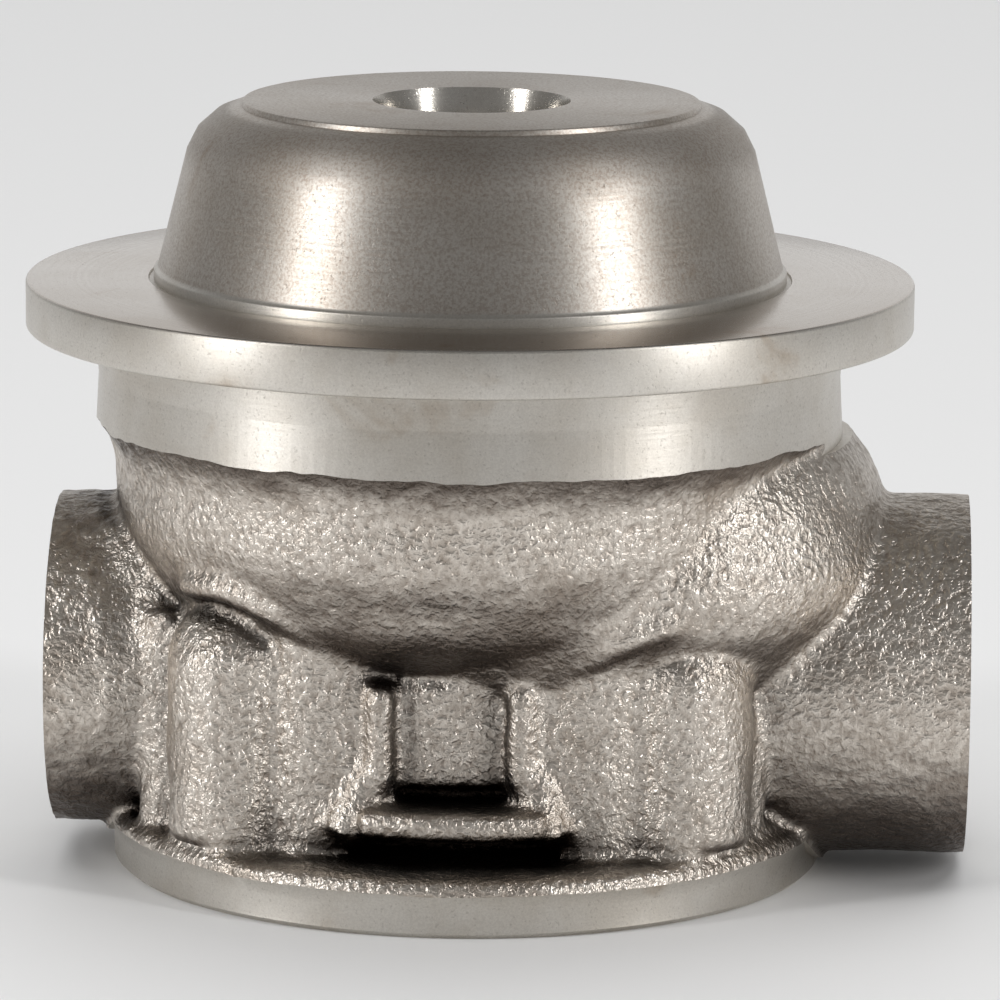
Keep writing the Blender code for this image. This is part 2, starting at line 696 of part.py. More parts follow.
def make_thrust_bearing():
    bearing = ring(
        "thrust_bearing", THRUST_BEARING_R, THRUST_BORE_R, THRUST_LOW_Z, THRUST_TOP_Z, BRONZE, EDGE_CHAMFER)
    below = THRUST_LOW_Z - OVERRUN
    above = THRUST_TOP_Z + OVERRUN
    cuts = []
    groove_start = THRUST_BORE_R - THRUST_GROOVE_WIDTH
    groove_middle = (groove_start + THRUST_COLLAR_R) / 2
    for number in range(THRUST_PAD_GROOVES):
        for face, level in (("upper", THRUST_TOP_Z), ("lower", THRUST_LOW_Z)):
            groove = block(
                f"thrust_groove_{face}_{number}",
                (groove_start, -THRUST_GROOVE_WIDTH / 2, -THRUST_GROOVE_DEPTH),
                (THRUST_COLLAR_R, THRUST_GROOVE_WIDTH / 2, THRUST_GROOVE_DEPTH))
            angle = 360 / THRUST_PAD_GROOVES * number + 180
            groove.location = round_the_axis(groove_middle, angle, level)
            groove.rotation_euler = (0, 0, math.radians(angle))
            cuts.append(groove)
    for angle in SCREW_ANGLES_DEG:
        cuts.append(hole_along_axis(
            f"thrust_screw_hole_{angle}", SCREW_SHANK_R + SEAT_GAP, SCREW_CIRCLE_R, angle, below, above))
    for angle in PIN_ANGLES_DEG:
        cuts.append(hole_along_axis(
            f"thrust_pin_hole_{angle}", PIN_R + SEAT_GAP, SCREW_CIRCLE_R, angle, below, above))
    middle = (THRUST_LOW_Z + THRUST_TOP_Z) / 2
    mouth = Vector((-GALLERY_MOUTH_X, 0, middle))
    cuts.append(plug("thrust_feed_mouth", GALLERY_R, mouth, (mouth.x, 0, above)))
    cuts.append(plug("thrust_feed_drilling", GALLERY_R / 2, mouth, (0, 0, middle), OIL_HOLE_STEPS))
    cuts.append(block(
        "thrust_drain_notch", (SCREW_CIRCLE_R, -THRUST_NOTCH_HALF_WIDTH, below),
        (THRUST_RECESS_R + OVERRUN, THRUST_NOTCH_HALF_WIDTH, above)))
    combine(bearing, cuts, "DIFFERENCE")


def make_thrust_collar():
    turned("thrust_collar", [
        (SHAFT_END_BORE_R, COLLAR_TOP_Z),
        (THRUST_COLLAR_R - EDGE_CHAMFER, COLLAR_TOP_Z),
        (THRUST_COLLAR_R, COLLAR_TOP_Z - EDGE_CHAMFER),
        (THRUST_COLLAR_R, COLLAR_LOW_Z),
        (COLLAR_HUB_R, COLLAR_LOW_Z),
        (COLLAR_HUB_R, THRUST_LOW_Z),
        (SHAFT_END_BORE_R, THRUST_LOW_Z),
    ], GROUND_STEEL, closed=True)


def seal_ring_levels():
    # Two rings, one on each side of the seal plate's middle
    middle = (SEAL_PLATE_LOW_Z + SEAL_PLATE_TOP_Z) / 2
    return [middle - SEAL_RING_SPACING / 2, middle + SEAL_RING_SPACING / 2]


def make_thrust_sleeve():
    corners = [
        (SHAFT_END_BORE_R, SLEEVE_TOP_Z),
        (THRUST_COLLAR_R - EDGE_CHAMFER, SLEEVE_TOP_Z),
        (THRUST_COLLAR_R, SLEEVE_TOP_Z - EDGE_CHAMFER),
        (THRUST_COLLAR_R, SLEEVE_FLANGE_LOW_Z),
        (SLEEVE_NECK_R, SLEEVE_FLANGE_LOW_Z),
    ]
    half = SEAL_RING_THICKNESS / 2 + SEAT_GAP
    floor = SEAL_RING_INNER_R - SEAT_GAP
    for level in reversed(seal_ring_levels()):
        corners += [
            (SLEEVE_NECK_R, level + half), (floor, level + half),
            (floor, level - half), (SLEEVE_NECK_R, level - half),
        ]
    corners += [
        (SLEEVE_NECK_R, SLEEVE_LOW_Z + EDGE_CHAMFER),
        (SLEEVE_NECK_R - EDGE_CHAMFER, SLEEVE_LOW_Z),
        (SHAFT_END_BORE_R, SLEEVE_LOW_Z),
    ]
    turned("thrust_sleeve", corners, GROUND_STEEL, closed=True)


def make_fixings():
    head_top = THRUST_LOW_Z - SEAT_GAP
    head_low = head_top - SCREW_HEAD_HEIGHT
    for number, angle in enumerate(SCREW_ANGLES_DEG, 1):
        name = f"thrust_bearing_screw_{number}"
        screw = turned(name, [
            (0, THRUST_SEAT_Z + SCREW_REACH),
            (SCREW_SHANK_R - EDGE_CHAMFER, THRUST_SEAT_Z + SCREW_REACH),
            (SCREW_SHANK_R, THRUST_SEAT_Z + SCREW_REACH - EDGE_CHAMFER),
            (SCREW_SHANK_R, head_top),
            (SCREW_HEAD_R, head_top),
            (SCREW_HEAD_R, head_low + EDGE_CHAMFER),
            (SCREW_HEAD_R - EDGE_CHAMFER, head_low),
            (0, head_low),
        ], SCREW_STEEL, steps=DRILL_STEPS, location=round_the_axis(SCREW_CIRCLE_R, angle))
        socket = plug(
            f"screw_socket_{number}", SCREW_SOCKET_R,
            round_the_axis(SCREW_CIRCLE_R, angle, head_low - EDGE_CHAMFER),
            round_the_axis(SCREW_CIRCLE_R, angle, (head_low + head_top) / 2), 6)
        combine(screw, [socket], "DIFFERENCE")
    for number, angle in enumerate(PIN_ANGLES_DEG, 1):
        turned(f"thrust_bearing_pin_{number}", [
            (0, THRUST_SEAT_Z + PIN_REACH),
            (PIN_R - EDGE_CHAMFER, THRUST_SEAT_Z + PIN_REACH),
            (PIN_R, THRUST_SEAT_Z + PIN_REACH - EDGE_CHAMFER),
            (PIN_R, THRUST_LOW_Z + EDGE_CHAMFER),
            (PIN_R - EDGE_CHAMFER, THRUST_LOW_Z),
            (0, THRUST_LOW_Z),
        ], GROUND_STEEL, steps=DRILL_STEPS, location=round_the_axis(SCREW_CIRCLE_R, angle))


# Compressor end seal

def make_oil_deflector():
    # Pressed sheet between the seal plate and the thrust sleeve; its rim is cut back
    # at the drain, where the oil leaves
    deflector = ring(
        "oil_deflector", THRUST_BEARING_R, DEFLECTOR_BORE_R, DEFLECTOR_LOW_Z,
        DEFLECTOR_LOW_Z + DEFLECTOR_THICKNESS, SHEET_STEEL)
    notch = block(
        "deflector_notch", (SCREW_CIRCLE_R, -THRUST_NOTCH_HALF_WIDTH, DEFLECTOR_LOW_Z - OVERRUN),
        (THRUST_RECESS_R + OVERRUN, THRUST_NOTCH_HALF_WIDTH, DEFLECTOR_LOW_Z + OVERRUN))
    combine(deflector, [notch], "DIFFERENCE")


def make_seal_plate():
    groove_half = O_RING_SECTION_R + SEAT_GAP
    groove_floor = SEAL_PLATE_R - 2 * O_RING_SECTION_R
    middle = (SEAL_PLATE_LOW_Z + SEAL_PLATE_TOP_Z) / 2
    lip = SEAL_PLATE_BORE_R + CIRCLIP_WIDTH
    turned("seal_plate", [
        (SEAL_PLATE_BORE_R, SEAL_PLATE_TOP_Z),
        (SEAL_PLATE_R, SEAL_PLATE_TOP_Z),
        (SEAL_PLATE_R, middle + groove_half),
        (groove_floor, middle + groove_half),
        (groove_floor, middle - groove_half),
        (SEAL_PLATE_R, middle - groove_half),
        (SEAL_PLATE_R, SEAL_PLATE_LOW_Z),
        (SEAL_PLATE_DISH_R, SEAL_PLATE_LOW_Z),
        (SEAL_PLATE_DISH_R, SEAL_PLATE_LOW_Z + SEAL_PLATE_DISH_DEPTH),
        (lip, SEAL_PLATE_LOW_Z + SEAL_PLATE_DISH_DEPTH),
        (lip, SEAL_PLATE_LOW_Z),
        (SEAL_PLATE_BORE_R, SEAL_PLATE_LOW_Z),
    ], GROUND_STEEL, closed=True, steps=RECESS_STEPS)


def make_o_ring():
    middle = (SEAL_PLATE_LOW_Z + SEAL_PLATE_TOP_Z) / 2
    section = []
    centre = SEAL_RECESS_R - SEAT_GAP / 2 - O_RING_SECTION_R
    for r, z in arc(O_RING_SECTION_R, 90, -270, 8, (centre, middle))[:-1]:
        section.append((r, z))
    turned("seal_plate_o_ring", section, SEAL_RUBBER, closed=True)


def make_seal_rings():
    for number, level in enumerate(seal_ring_levels(), 1):
        half = SEAL_RING_MOUTH_DEG / 2
        outline = arc(SEAL_RING_R, half, 360 - half, RING_STEPS)
        outline += arc(SEAL_RING_INNER_R, 360 - half, half, RING_STEPS)
        flat_piece(
            f"sleeve_seal_ring_{number}", [outline], SEAL_RING_THICKNESS, level - SEAL_RING_THICKNESS / 2,
            SPRING_STEEL)


def make_seal_plate_circlip():
    # Internal circlip with two eyes for pliers at its mouth
    outer = SEAL_RECESS_R + CIRCLIP_GROOVE_DEPTH - SEAT_GAP
    inner = outer - CIRCLIP_WIDTH
    mouth = CIRCLIP_MOUTH_DEG / 2
    eye = inner - CIRCLIP_LUG_R / 2
    lug_span = math.degrees(CIRCLIP_LUG_R / eye)
    outline = arc(outer, mouth, 360 - mouth, RING_STEPS)
    outline += arc(
        CIRCLIP_LUG_R, -mouth + 90, -mouth + 270, 6, round_the_axis(eye, -mouth - lug_span)[:2])[1:-1]
    outline += arc(inner, 360 - mouth - 2 * lug_span, mouth + 2 * lug_span, RING_STEPS)
    outline += arc(
        CIRCLIP_LUG_R, mouth + 90, mouth + 270, 6, round_the_axis(eye, mouth + lug_span)[:2])[1:-1]
    holes = []
    for side in (-1, 1):
        centre = round_the_axis(eye, side * (mouth + lug_span))[:2]
        holes.append(arc(CIRCLIP_EYE_R, 0, 360, OIL_HOLE_STEPS, centre)[:-1])
    flat_piece("seal_plate_circlip", [outline] + holes, CIRCLIP_THICKNESS, CIRCLIP_LOW_Z, SPRING_STEEL)


make_casting()
make_journal_bearing("turbine_journal_bearing", TURBINE_JOURNAL_Z)
make_journal_bearing("compressor_journal_bearing", COMPRESSOR_JOURNAL_Z)
for ring_name, ring_level in snap_ring_levels().items():
    make_snap_ring(ring_name, ring_level)
make_thrust_bearing()
make_thrust_collar()
make_thrust_sleeve()
make_fixings()
make_oil_deflector()
make_seal_plate()
make_o_ring()
make_seal_rings()
make_seal_plate_circlip()
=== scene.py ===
import json
import math

import bmesh
import bpy
from mathutils import Matrix, Vector, noise


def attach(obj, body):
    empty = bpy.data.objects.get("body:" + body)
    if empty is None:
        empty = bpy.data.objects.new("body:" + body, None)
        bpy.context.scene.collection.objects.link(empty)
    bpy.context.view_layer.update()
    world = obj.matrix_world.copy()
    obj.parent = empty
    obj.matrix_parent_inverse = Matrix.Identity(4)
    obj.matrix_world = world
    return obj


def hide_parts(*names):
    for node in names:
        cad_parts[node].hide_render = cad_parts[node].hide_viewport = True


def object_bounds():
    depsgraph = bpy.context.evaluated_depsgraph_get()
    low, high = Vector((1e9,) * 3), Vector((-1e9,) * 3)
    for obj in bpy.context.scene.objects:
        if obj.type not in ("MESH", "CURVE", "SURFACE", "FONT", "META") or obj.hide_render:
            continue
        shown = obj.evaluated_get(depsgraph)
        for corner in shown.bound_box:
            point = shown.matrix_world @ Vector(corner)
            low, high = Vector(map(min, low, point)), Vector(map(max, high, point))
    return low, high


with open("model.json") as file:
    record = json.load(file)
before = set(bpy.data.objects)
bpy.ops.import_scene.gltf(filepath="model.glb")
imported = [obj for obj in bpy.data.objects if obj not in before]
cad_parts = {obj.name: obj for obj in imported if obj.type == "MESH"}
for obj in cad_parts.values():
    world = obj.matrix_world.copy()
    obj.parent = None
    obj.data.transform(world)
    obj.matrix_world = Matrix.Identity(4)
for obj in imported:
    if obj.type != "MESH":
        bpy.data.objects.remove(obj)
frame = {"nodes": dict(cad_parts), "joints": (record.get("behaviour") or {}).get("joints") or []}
cadLow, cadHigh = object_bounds()
print("frame loaded:", len(frame["nodes"]), "nodes")

# Everything is modelled in millimetres about the rotor axis, and brought to the frame at the end
mm = 0.001
axisX = frame["joints"][0]["pos_m"][0]
toFrame = Matrix.Translation((axisX, 0, 0)) @ Matrix.Scale(mm, 4)
finestTurn = 192
fineTurn = 128
smallTurn = 40


# Node helpers

def addNode(tree, kind, sockets=None, **settings):
    made = tree.nodes.new("ShaderNode" + kind)
    for key, value in settings.items():
        setattr(made, key, value)
    for key, value in (sockets or {}).items():
        if isinstance(value, bpy.types.NodeSocket):
            tree.links.new(value, made.inputs[key])
        else:
            made.inputs[key].default_value = value
    return made


def mathOf(tree, operation, first, second=0.0, third=0.0):
    return addNode(tree, "Math", {0: first, 1: second, 2: third}, operation=operation).outputs[0]


def vectorOf(tree, operation, first, second=(0, 0, 0), output=0):
    return addNode(tree, "VectorMath", {0: first, 1: second}, operation=operation).outputs[output]


def mixOf(tree, factor, first, second, blend="MIX"):
    made = addNode(tree, "Mix", {0: factor}, data_type="RGBA", blend_type=blend)
    for slot, value in ((6, first), (7, second)):
        if isinstance(value, bpy.types.NodeSocket):
            tree.links.new(value, made.inputs[slot])
        else:
            made.inputs[slot].default_value = (*value, 1)
    return made.outputs[2]


def spreadOf(tree, value, low, high, newLow=0.0, newHigh=1.0, smooth=True):
    made = addNode(
        tree, "MapRange", {0: value, 1: low, 2: high, 3: newLow, 4: newHigh},
        interpolation_type="SMOOTHSTEP" if smooth else "LINEAR")
    return made.outputs[0]


def noiseOf(tree, place, scale, detail=2.0, roughness=0.5, distortion=0.0):
    sockets = {
        "Vector": place, "Scale": scale, "Detail": detail, "Roughness": roughness, "Distortion": distortion}
    return addNode(tree, "TexNoise", sockets).outputs[0]


def newFinish(name, metallic=1.0):
    made = bpy.data.materials.new(name)
    made.use_nodes = True
    tree = made.node_tree
    shader = tree.nodes["Principled BSDF"]
    shader.inputs["Metallic"].default_value = metallic
    place = addNode(tree, "TexCoord").outputs["Object"]
    return made, tree, shader, place


# Raw cast iron: bright crests, random tarnish patches and an orange-peel grain, with painted near-black shade
# in recesses and painted dark shade on undersides
castLook = {
    "crest": (0.75, 0.69, 0.62), "pit": (0.40, 0.345, 0.295), "crests": (0.10, 0.60),
    # recess is a painted shade colour for occluded hollows; reach and open set the ambient occlusion that
    # spreads it
    "recess": (0.020, 0.014, 0.011), "open": (0.38, 0.93), "reach": 13 * mm,
    # under is a painted shade colour for surfaces facing down; facing sets which slopes get it
    "under": (0.075, 0.056, 0.045), "facing": (-0.10, -0.75, 0.0, 0.90),
    "tarnish": (0.36, 0.30, 0.245), "tarnishing": 0.55, "patch": 110, "patches": (0.48, 0.72),
    "roughness": (0.45, 0.32), "grain": 1650, "pebble": 1400, "pebbleShare": -0.35, "fine": 4600,
    "fineShare": 0.16, "height": 0.30 * mm,
}


def castFinish(name, look):
    made, tree, shader, place = newFinish(name)
    grain = noiseOf(tree, place, look["grain"], 2.0, 0.55, 0.3)
    pebble = addNode(
        tree, "TexVoronoi", {"Vector": place, "Scale": look["pebble"], "Smoothness": 0.8},
        feature="SMOOTH_F1").outputs["Distance"]
    height = mathOf(tree, "MULTIPLY_ADD", pebble, look["pebbleShare"], grain)
    fine = noiseOf(tree, place, look["fine"], 1.0)
    height = mathOf(tree, "MULTIPLY_ADD", fine, look["fineShare"], height)
    bump = addNode(tree, "Bump", {"Height": height, "Distance": look["height"], "Strength": 1.0})
    # Painted shade: ambient occlusion darkens recesses toward the near-black recess colour
    shade = addNode(tree, "AmbientOcclusion", {"Distance": look["reach"]}, samples=8, only_local=True)
    paintedShadeOpenness = spreadOf(tree, shade.outputs["AO"], *look["open"])
    tarnish = spreadOf(tree, noiseOf(tree, place, look["patch"], 4.0, 0.6), *look["patches"])
    # Painted shade: surfaces facing downward are darkened toward the under colour
    facing = addNode(tree, "SeparateXYZ", {0: addNode(tree, "TexCoord").outputs["Normal"]}).outputs["Z"]
    paintedUnderShade = spreadOf(tree, facing, *look["facing"])
    crest = spreadOf(tree, height, *look["crests"], smooth=False)
    colour = mixOf(tree, crest, look["pit"], look["crest"])
    colour = mixOf(tree, mathOf(tree, "MULTIPLY", tarnish, look["tarnishing"]), colour, look["tarnish"])
    colour = mixOf(tree, paintedUnderShade, colour, look["under"])
    colour = mixOf(tree, paintedShadeOpenness, look["recess"], colour)
    tree.links.new(colour, shader.inputs["Base Color"])
    tree.links.new(spreadOf(tree, crest, 0.0, 1.0, *look["roughness"]), shader.inputs["Roughness"])
    tree.links.new(bump.outputs[0], shader.inputs["Normal"])
    return made


def noseSkin(tree, look, where, smear, colour, rough):
    # The nose has a browner, speckled skin, dullest under its rim, and the flange's top is the smoothest
    place, radius, rise = where
    onNose = spreadOf(tree, rise, *look["nose"])
    scale = spreadOf(tree, noiseOf(tree, place, look["scale"], 3.0, 0.7), *look["scales"])
    skin = mathOf(tree, "MULTIPLY", mathOf(tree, "MULTIPLY", scale, onNose), look["skinning"])
    colour = mixOf(tree, skin, colour, look["skin"])
    ragged = mathOf(tree, "MULTIPLY_ADD", smear, look["ragged"], rise)
    onSide = spreadOf(tree, radius, *look["side"])
    band = mathOf(tree, "MULTIPLY", spreadOf(tree, ragged, *look["dull"]), onSide)
    colour = mixOf(tree, mathOf(tree, "MULTIPLY", band, look["darker"]), colour, look["pit"])
    rough = mathOf(tree, "MULTIPLY_ADD", band, look["duller"], rough)
    outside = spreadOf(tree, radius, *look["flangeFrom"])
    onFlange = mathOf(tree, "MULTIPLY", outside, spreadOf(tree, rise, *look["flangeTop"]))
    rough = mathOf(tree, "MULTIPLY_ADD", onFlange, -look["smoother"], rough)
    colour = mixOf(tree, mathOf(tree, "MULTIPLY", onFlange, look["browner"]), colour, look["skin"])
    return colour, rough


# Turned metal: fine tool lines round the rotor axis, open pits and faint brown stains
def turnedFinish(name, look):
    made, tree, shader, place = newFinish(name)
    centred = vectorOf(tree, "SUBTRACT", place, (axisX, 0, 0))
    radius = vectorOf(tree, "LENGTH", vectorOf(tree, "MULTIPLY", centred, (1, 1, 0)), output=1)
    rise = addNode(tree, "SeparateXYZ", {0: centred}).outputs["Z"]
    path = mathOf(tree, "MULTIPLY_ADD", rise, 1.37, radius)
    speck = noiseOf(tree, place, look["speck"], 2.0, 0.7)
    lines = addNode(
        tree, "TexNoise", {"W": path, "Scale": look["lines"], "Detail": 3.0, "Roughness": 0.6},
        noise_dimensions="1D").outputs[0]
    pits = spreadOf(tree, noiseOf(tree, place, look["pits"], 1.5, 0.6), 0.60, 0.72)
    stain = spreadOf(tree, noiseOf(tree, place, look["stains"], 5.0, 0.62, 0.6), 0.60, 0.74)
    smear = noiseOf(tree, place, 90, 4.0, 0.6)
    colour = mixOf(tree, spreadOf(tree, smear, 0.35, 0.70), look["colour"], look["smear"])
    colour = mixOf(tree, mathOf(tree, "MULTIPLY", stain, look["staining"]), colour, look["stain"])
    colour = mixOf(tree, mathOf(tree, "MULTIPLY", pits, look["pitting"]), colour, look["pit"])
    dots = spreadOf(tree, speck, 0.62, 0.40, 0.0, look["speckling"])
    colour = mixOf(tree, dots, colour, look["pit"])
    rough = spreadOf(tree, lines, 0.25, 0.75, look["roughness"][0], look["roughness"][1])
    rough = mathOf(tree, "MULTIPLY_ADD", pits, 0.08, rough)
    height = mathOf(tree, "MULTIPLY_ADD", pits, -0.8, lines)
    height = mathOf(tree, "MULTIPLY_ADD", speck, look["peel"], height)
    if "nose" in look:
        colour, rough = noseSkin(tree, look, (place, radius, rise), smear, colour, rough)
    bump = addNode(tree, "Bump", {"Height": height, "Distance": look["height"], "Strength": 1.0})
    round_ = vectorOf(tree, "NORMALIZE", vectorOf(tree, "CROSS_PRODUCT", (0, 0, 1), centred))
    tangent = addNode(
        tree, "VectorTransform", {0: round_}, vector_type="VECTOR", convert_from="OBJECT", convert_to="WORLD")
    shader.inputs["Anisotropic"].default_value = look["stretch"]
    shader.inputs["Anisotropic Rotation"].default_value = 0.25
    tree.links.new(tangent.outputs[0], shader.inputs["Tangent"])
    tree.links.new(colour, shader.inputs["Base Color"])
    tree.links.new(rough, shader.inputs["Roughness"])
    tree.links.new(bump.outputs[0], shader.inputs["Normal"])
    return made


turnedIron = {
    "colour": (0.68, 0.65, 0.60), "smear": (0.60, 0.56, 0.50), "stain": (0.36, 0.26, 0.17),
    "pit": (0.16, 0.13, 0.11), "staining": 0.50, "pitting": 0.20, "lines": 3000, "pits": 3400, "stains": 85,
    "speck": 5000, "speckling": 0.12, "peel": 0.6, "roughness": (0.39, 0.45), "height": 0.005 * mm,
    "stretch": 0.5, "nose": (54.2 * mm, 54.4 * mm), "scale": 3600, "scales": (0.42, 0.62, 0.25, 1.0),
    "skin": (0.25, 0.155, 0.10), "skinning": 0.42, "ragged": 5 * mm, "dull": (65.2 * mm, 68.4 * mm),
    "side": (21.2 * mm, 22.2 * mm), "darker": 0.20, "duller": 0.12, "flangeFrom": (28.6 * mm, 29.0 * mm),
    "flangeTop": (53.08 * mm, 53.16 * mm), "smoother": 0.22, "browner": 0.28,
}
boredIron = {**turnedIron, "staining": 0.30, "roughness": (0.18, 0.25), "stretch": 0.3}
del boredIron["nose"]  # without it, noseSkin isn't called
bronze = {
    "colour": (0.66, 0.48, 0.25), "smear": (0.60, 0.42, 0.20), "stain": (0.38, 0.22, 0.10),
    "pit": (0.30, 0.20, 0.10), "staining": 0.35, "pitting": 0.25, "lines": 3200, "pits": 3000, "stains": 160,
    "speck": 4200, "speckling": 0.12, "peel": 0.3, "roughness": (0.20, 0.30), "height": 0.008 * mm,
    "stretch": 0.5,
}
groundSteel = {
    "colour": (0.62, 0.62, 0.62), "smear": (0.56, 0.56, 0.55), "stain": (0.40, 0.33, 0.26),
    "pit": (0.30, 0.29, 0.28), "staining": 0.20, "pitting": 0.20, "lines": 4200, "pits": 3600, "stains": 140,
    "speck": 4200, "speckling": 0.10, "peel": 0.3, "roughness": (0.16, 0.26), "height": 0.006 * mm,
    "stretch": 0.55,
}
sheetSteel = {**groundSteel, "colour": (0.52, 0.52, 0.51), "roughness": (0.28, 0.38), "stretch": 0.2}
springSteel = {
    **groundSteel, "colour": (0.20, 0.20, 0.21), "smear": (0.16, 0.155, 0.15), "roughness": (0.30, 0.42),
    "stretch": 0.2,
}
screwSteel = {**springSteel, "colour": (0.10, 0.10, 0.105), "smear": (0.07, 0.07, 0.07)}
rubberLook = {
    "dark": (0.012, 0.012, 0.012), "pale": (0.030, 0.030, 0.030), "patch": 900, "roughness": (0.50, 0.68),
}
milledLook = {
    "dark": (0.60, 0.58, 0.54), "pale": (0.66, 0.64, 0.60), "stain": (0.40, 0.31, 0.22), "staining": 0.4,
    "bend": (0.2, 1.0, 1.0), "marks": 420, "stains": 120, "roughness": (0.26, 0.36), "height": 0.010 * mm,
}


def rubberFinish(look):
    made, tree, shader, place = newFinish("sealRubber", metallic=0.0)
    patch = noiseOf(tree, place, look["patch"], 3.0)
    tree.links.new(mixOf(tree, patch, look["dark"], look["pale"]), shader.inputs["Base Color"])
    tree.links.new(spreadOf(tree, patch, 0.3, 0.7, *look["roughness"]), shader.inputs["Roughness"])
    return made


# Milled end faces of the two oil bosses: straight cutter marks in arcs
def milledFinish(look):
    made, tree, shader, place = newFinish("milledIron")
    bent = vectorOf(tree, "MULTIPLY", place, look["bend"])
    marks = addNode(
        tree, "TexWave", {"Vector": bent, "Scale": look["marks"], "Distortion": 1.2, "Detail": 2.0},
        wave_type="RINGS", rings_direction="X").outputs["Fac"]
    stain = spreadOf(tree, noiseOf(tree, place, look["stains"], 4.0, 0.6), 0.55, 0.72)
    colour = mixOf(tree, marks, look["dark"], look["pale"])
    colour = mixOf(tree, mathOf(tree, "MULTIPLY", stain, look["staining"]), colour, look["stain"])
    bump = addNode(tree, "Bump", {"Height": marks, "Distance": look["height"], "Strength": 1.0})
    tree.links.new(colour, shader.inputs["Base Color"])
    tree.links.new(spreadOf(tree, marks, 0.0, 1.0, *look["roughness"]), shader.inputs["Roughness"])
    tree.links.new(bump.outputs[0], shader.inputs["Normal"])
    return made


finishes = {
    "castIron": castFinish("castIron", castLook),
    "turnedIron": turnedFinish("turnedIron", turnedIron),
    "boredIron": turnedFinish("boredIron", boredIron),
    "milledIron": milledFinish(milledLook),
    "bronze": turnedFinish("bronze", bronze),
    "groundSteel": turnedFinish("groundSteel", groundSteel),
    "sheetSteel": turnedFinish("sheetSteel", sheetSteel),
    "springSteel": turnedFinish("springSteel", springSteel),
    "screwSteel": turnedFinish("screwSteel", screwSteel),
    "sealRubber": rubberFinish(rubberLook),
}
print("finishes made:", len(finishes))


# Modelling helpers

def draft(name, shape, finish):
    # A bmesh in millimetres becomes an object with one finish
    bmesh.ops.recalc_face_normals(shape, faces=shape.faces)
    mesh = bpy.data.meshes.new(name)
    shape.to_mesh(mesh)
    shape.free()
    mesh.materials.append(finishes[finish])
    made = bpy.data.objects.new(name, mesh)
    bpy.context.scene.collection.objects.link(made)
    return made


def spun(name, corners, finish, steps=fineTurn, closed=False, centre=(0, 0, 0), widen=1.0, rounding=3):
    # Turned body; a corner is (radius, height) or (radius, height, length of its rounding)
    shape = bmesh.new()
    verts = [shape.verts.new((corner[0], 0, corner[1])) for corner in corners]
    for first, second in zip(verts, verts[1:]):
        shape.edges.new((first, second))
    if closed:
        shape.edges.new((verts[-1], verts[0]))
    for vert, corner in zip(verts, corners):
        if len(corner) > 2:
            bmesh.ops.bevel(
                shape, geom=[vert], offset=corner[2], segments=rounding, profile=0.5, affect="VERTICES",
                material=-1)
    bmesh.ops.spin(
        shape, geom=list(shape.verts) + list(shape.edges), angle=math.tau, steps=steps, axis=(0, 0, 1),
        cent=(0, 0, 0), use_merge=True)
    bmesh.ops.remove_doubles(shape, verts=shape.verts, dist=0.0005)
    bmesh.ops.scale(shape, vec=(1, widen, 1), verts=shape.verts)
    bmesh.ops.translate(shape, vec=centre, verts=shape.verts)
    return draft(name, shape, finish)


def rod(name, start, end, radius, finish, steps=smallTurn):
    # Straight round bar or drilling between two points
    start, end = Vector(start), Vector(end)
    along = end - start
    shape = bmesh.new()
    bmesh.ops.create_cone(
        shape, cap_ends=True, segments=steps, radius1=radius, radius2=radius, depth=along.length,
        matrix=Matrix.Translation((start + end) / 2) @ along.to_track_quat("Z", "Y").to_matrix().to_4x4())
    return draft(name, shape, finish)


def brick(name, low, high, finish, rounding=0.0, turn=0.0):
    # Box between two corners, turned about the rotor axis
    low, high = Vector(low), Vector(high)
    shape = bmesh.new()
    bmesh.ops.create_cube(shape, size=1.0)
    bmesh.ops.scale(shape, vec=high - low, verts=shape.verts)
    bmesh.ops.translate(shape, vec=(low + high) / 2, verts=shape.verts)
    if rounding:
        bmesh.ops.bevel(
            shape, geom=list(shape.edges), offset=rounding, segments=3, profile=0.5, affect="EDGES",
            material=-1)
    bmesh.ops.rotate(shape, verts=shape.verts, matrix=Matrix.Rotation(turn, 3, "Z"))
    return draft(name, shape, finish)


def applied(piece):
    # Takes the modifiers' result as the piece's own mesh
    bpy.context.view_layer.update()
    mesh = bpy.data.meshes.new_from_object(piece.evaluated_get(bpy.context.evaluated_depsgraph_get()))
    piece.modifiers.clear()
    piece.data = mesh
    return piece


def carve(piece, tools, operation="DIFFERENCE"):
    for tool in tools:
        step = piece.modifiers.new(tool.name, "BOOLEAN")
        step.object = tool
        step.operation = operation
        step.solver = "MANIFOLD"
        step.material_mode = "TRANSFER"
    applied(piece)
    for tool in tools:
        bpy.data.objects.remove(tool)
    return piece


def seated(piece, body, node, sharp=35):
    # A finished piece goes to its place in the frame
    piece.data.transform(toFrame)
    shape = bmesh.new()
    shape.from_mesh(piece.data)
    for face in shape.faces:
        face.smooth = True
    for edge in shape.edges:
        slots = {face.material_index for face in edge.link_faces}
        edge.smooth = len(slots) == 1 and edge.calc_face_angle(0) < math.radians(sharp)
    shape.to_mesh(piece.data)
    shape.free()
    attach(piece, body)
    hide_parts(node)


def roundAxis(radius, degrees, height=0.0):
    angle = math.radians(degrees)
    return Vector((radius * math.cos(angle), radius * math.sin(angle), height))


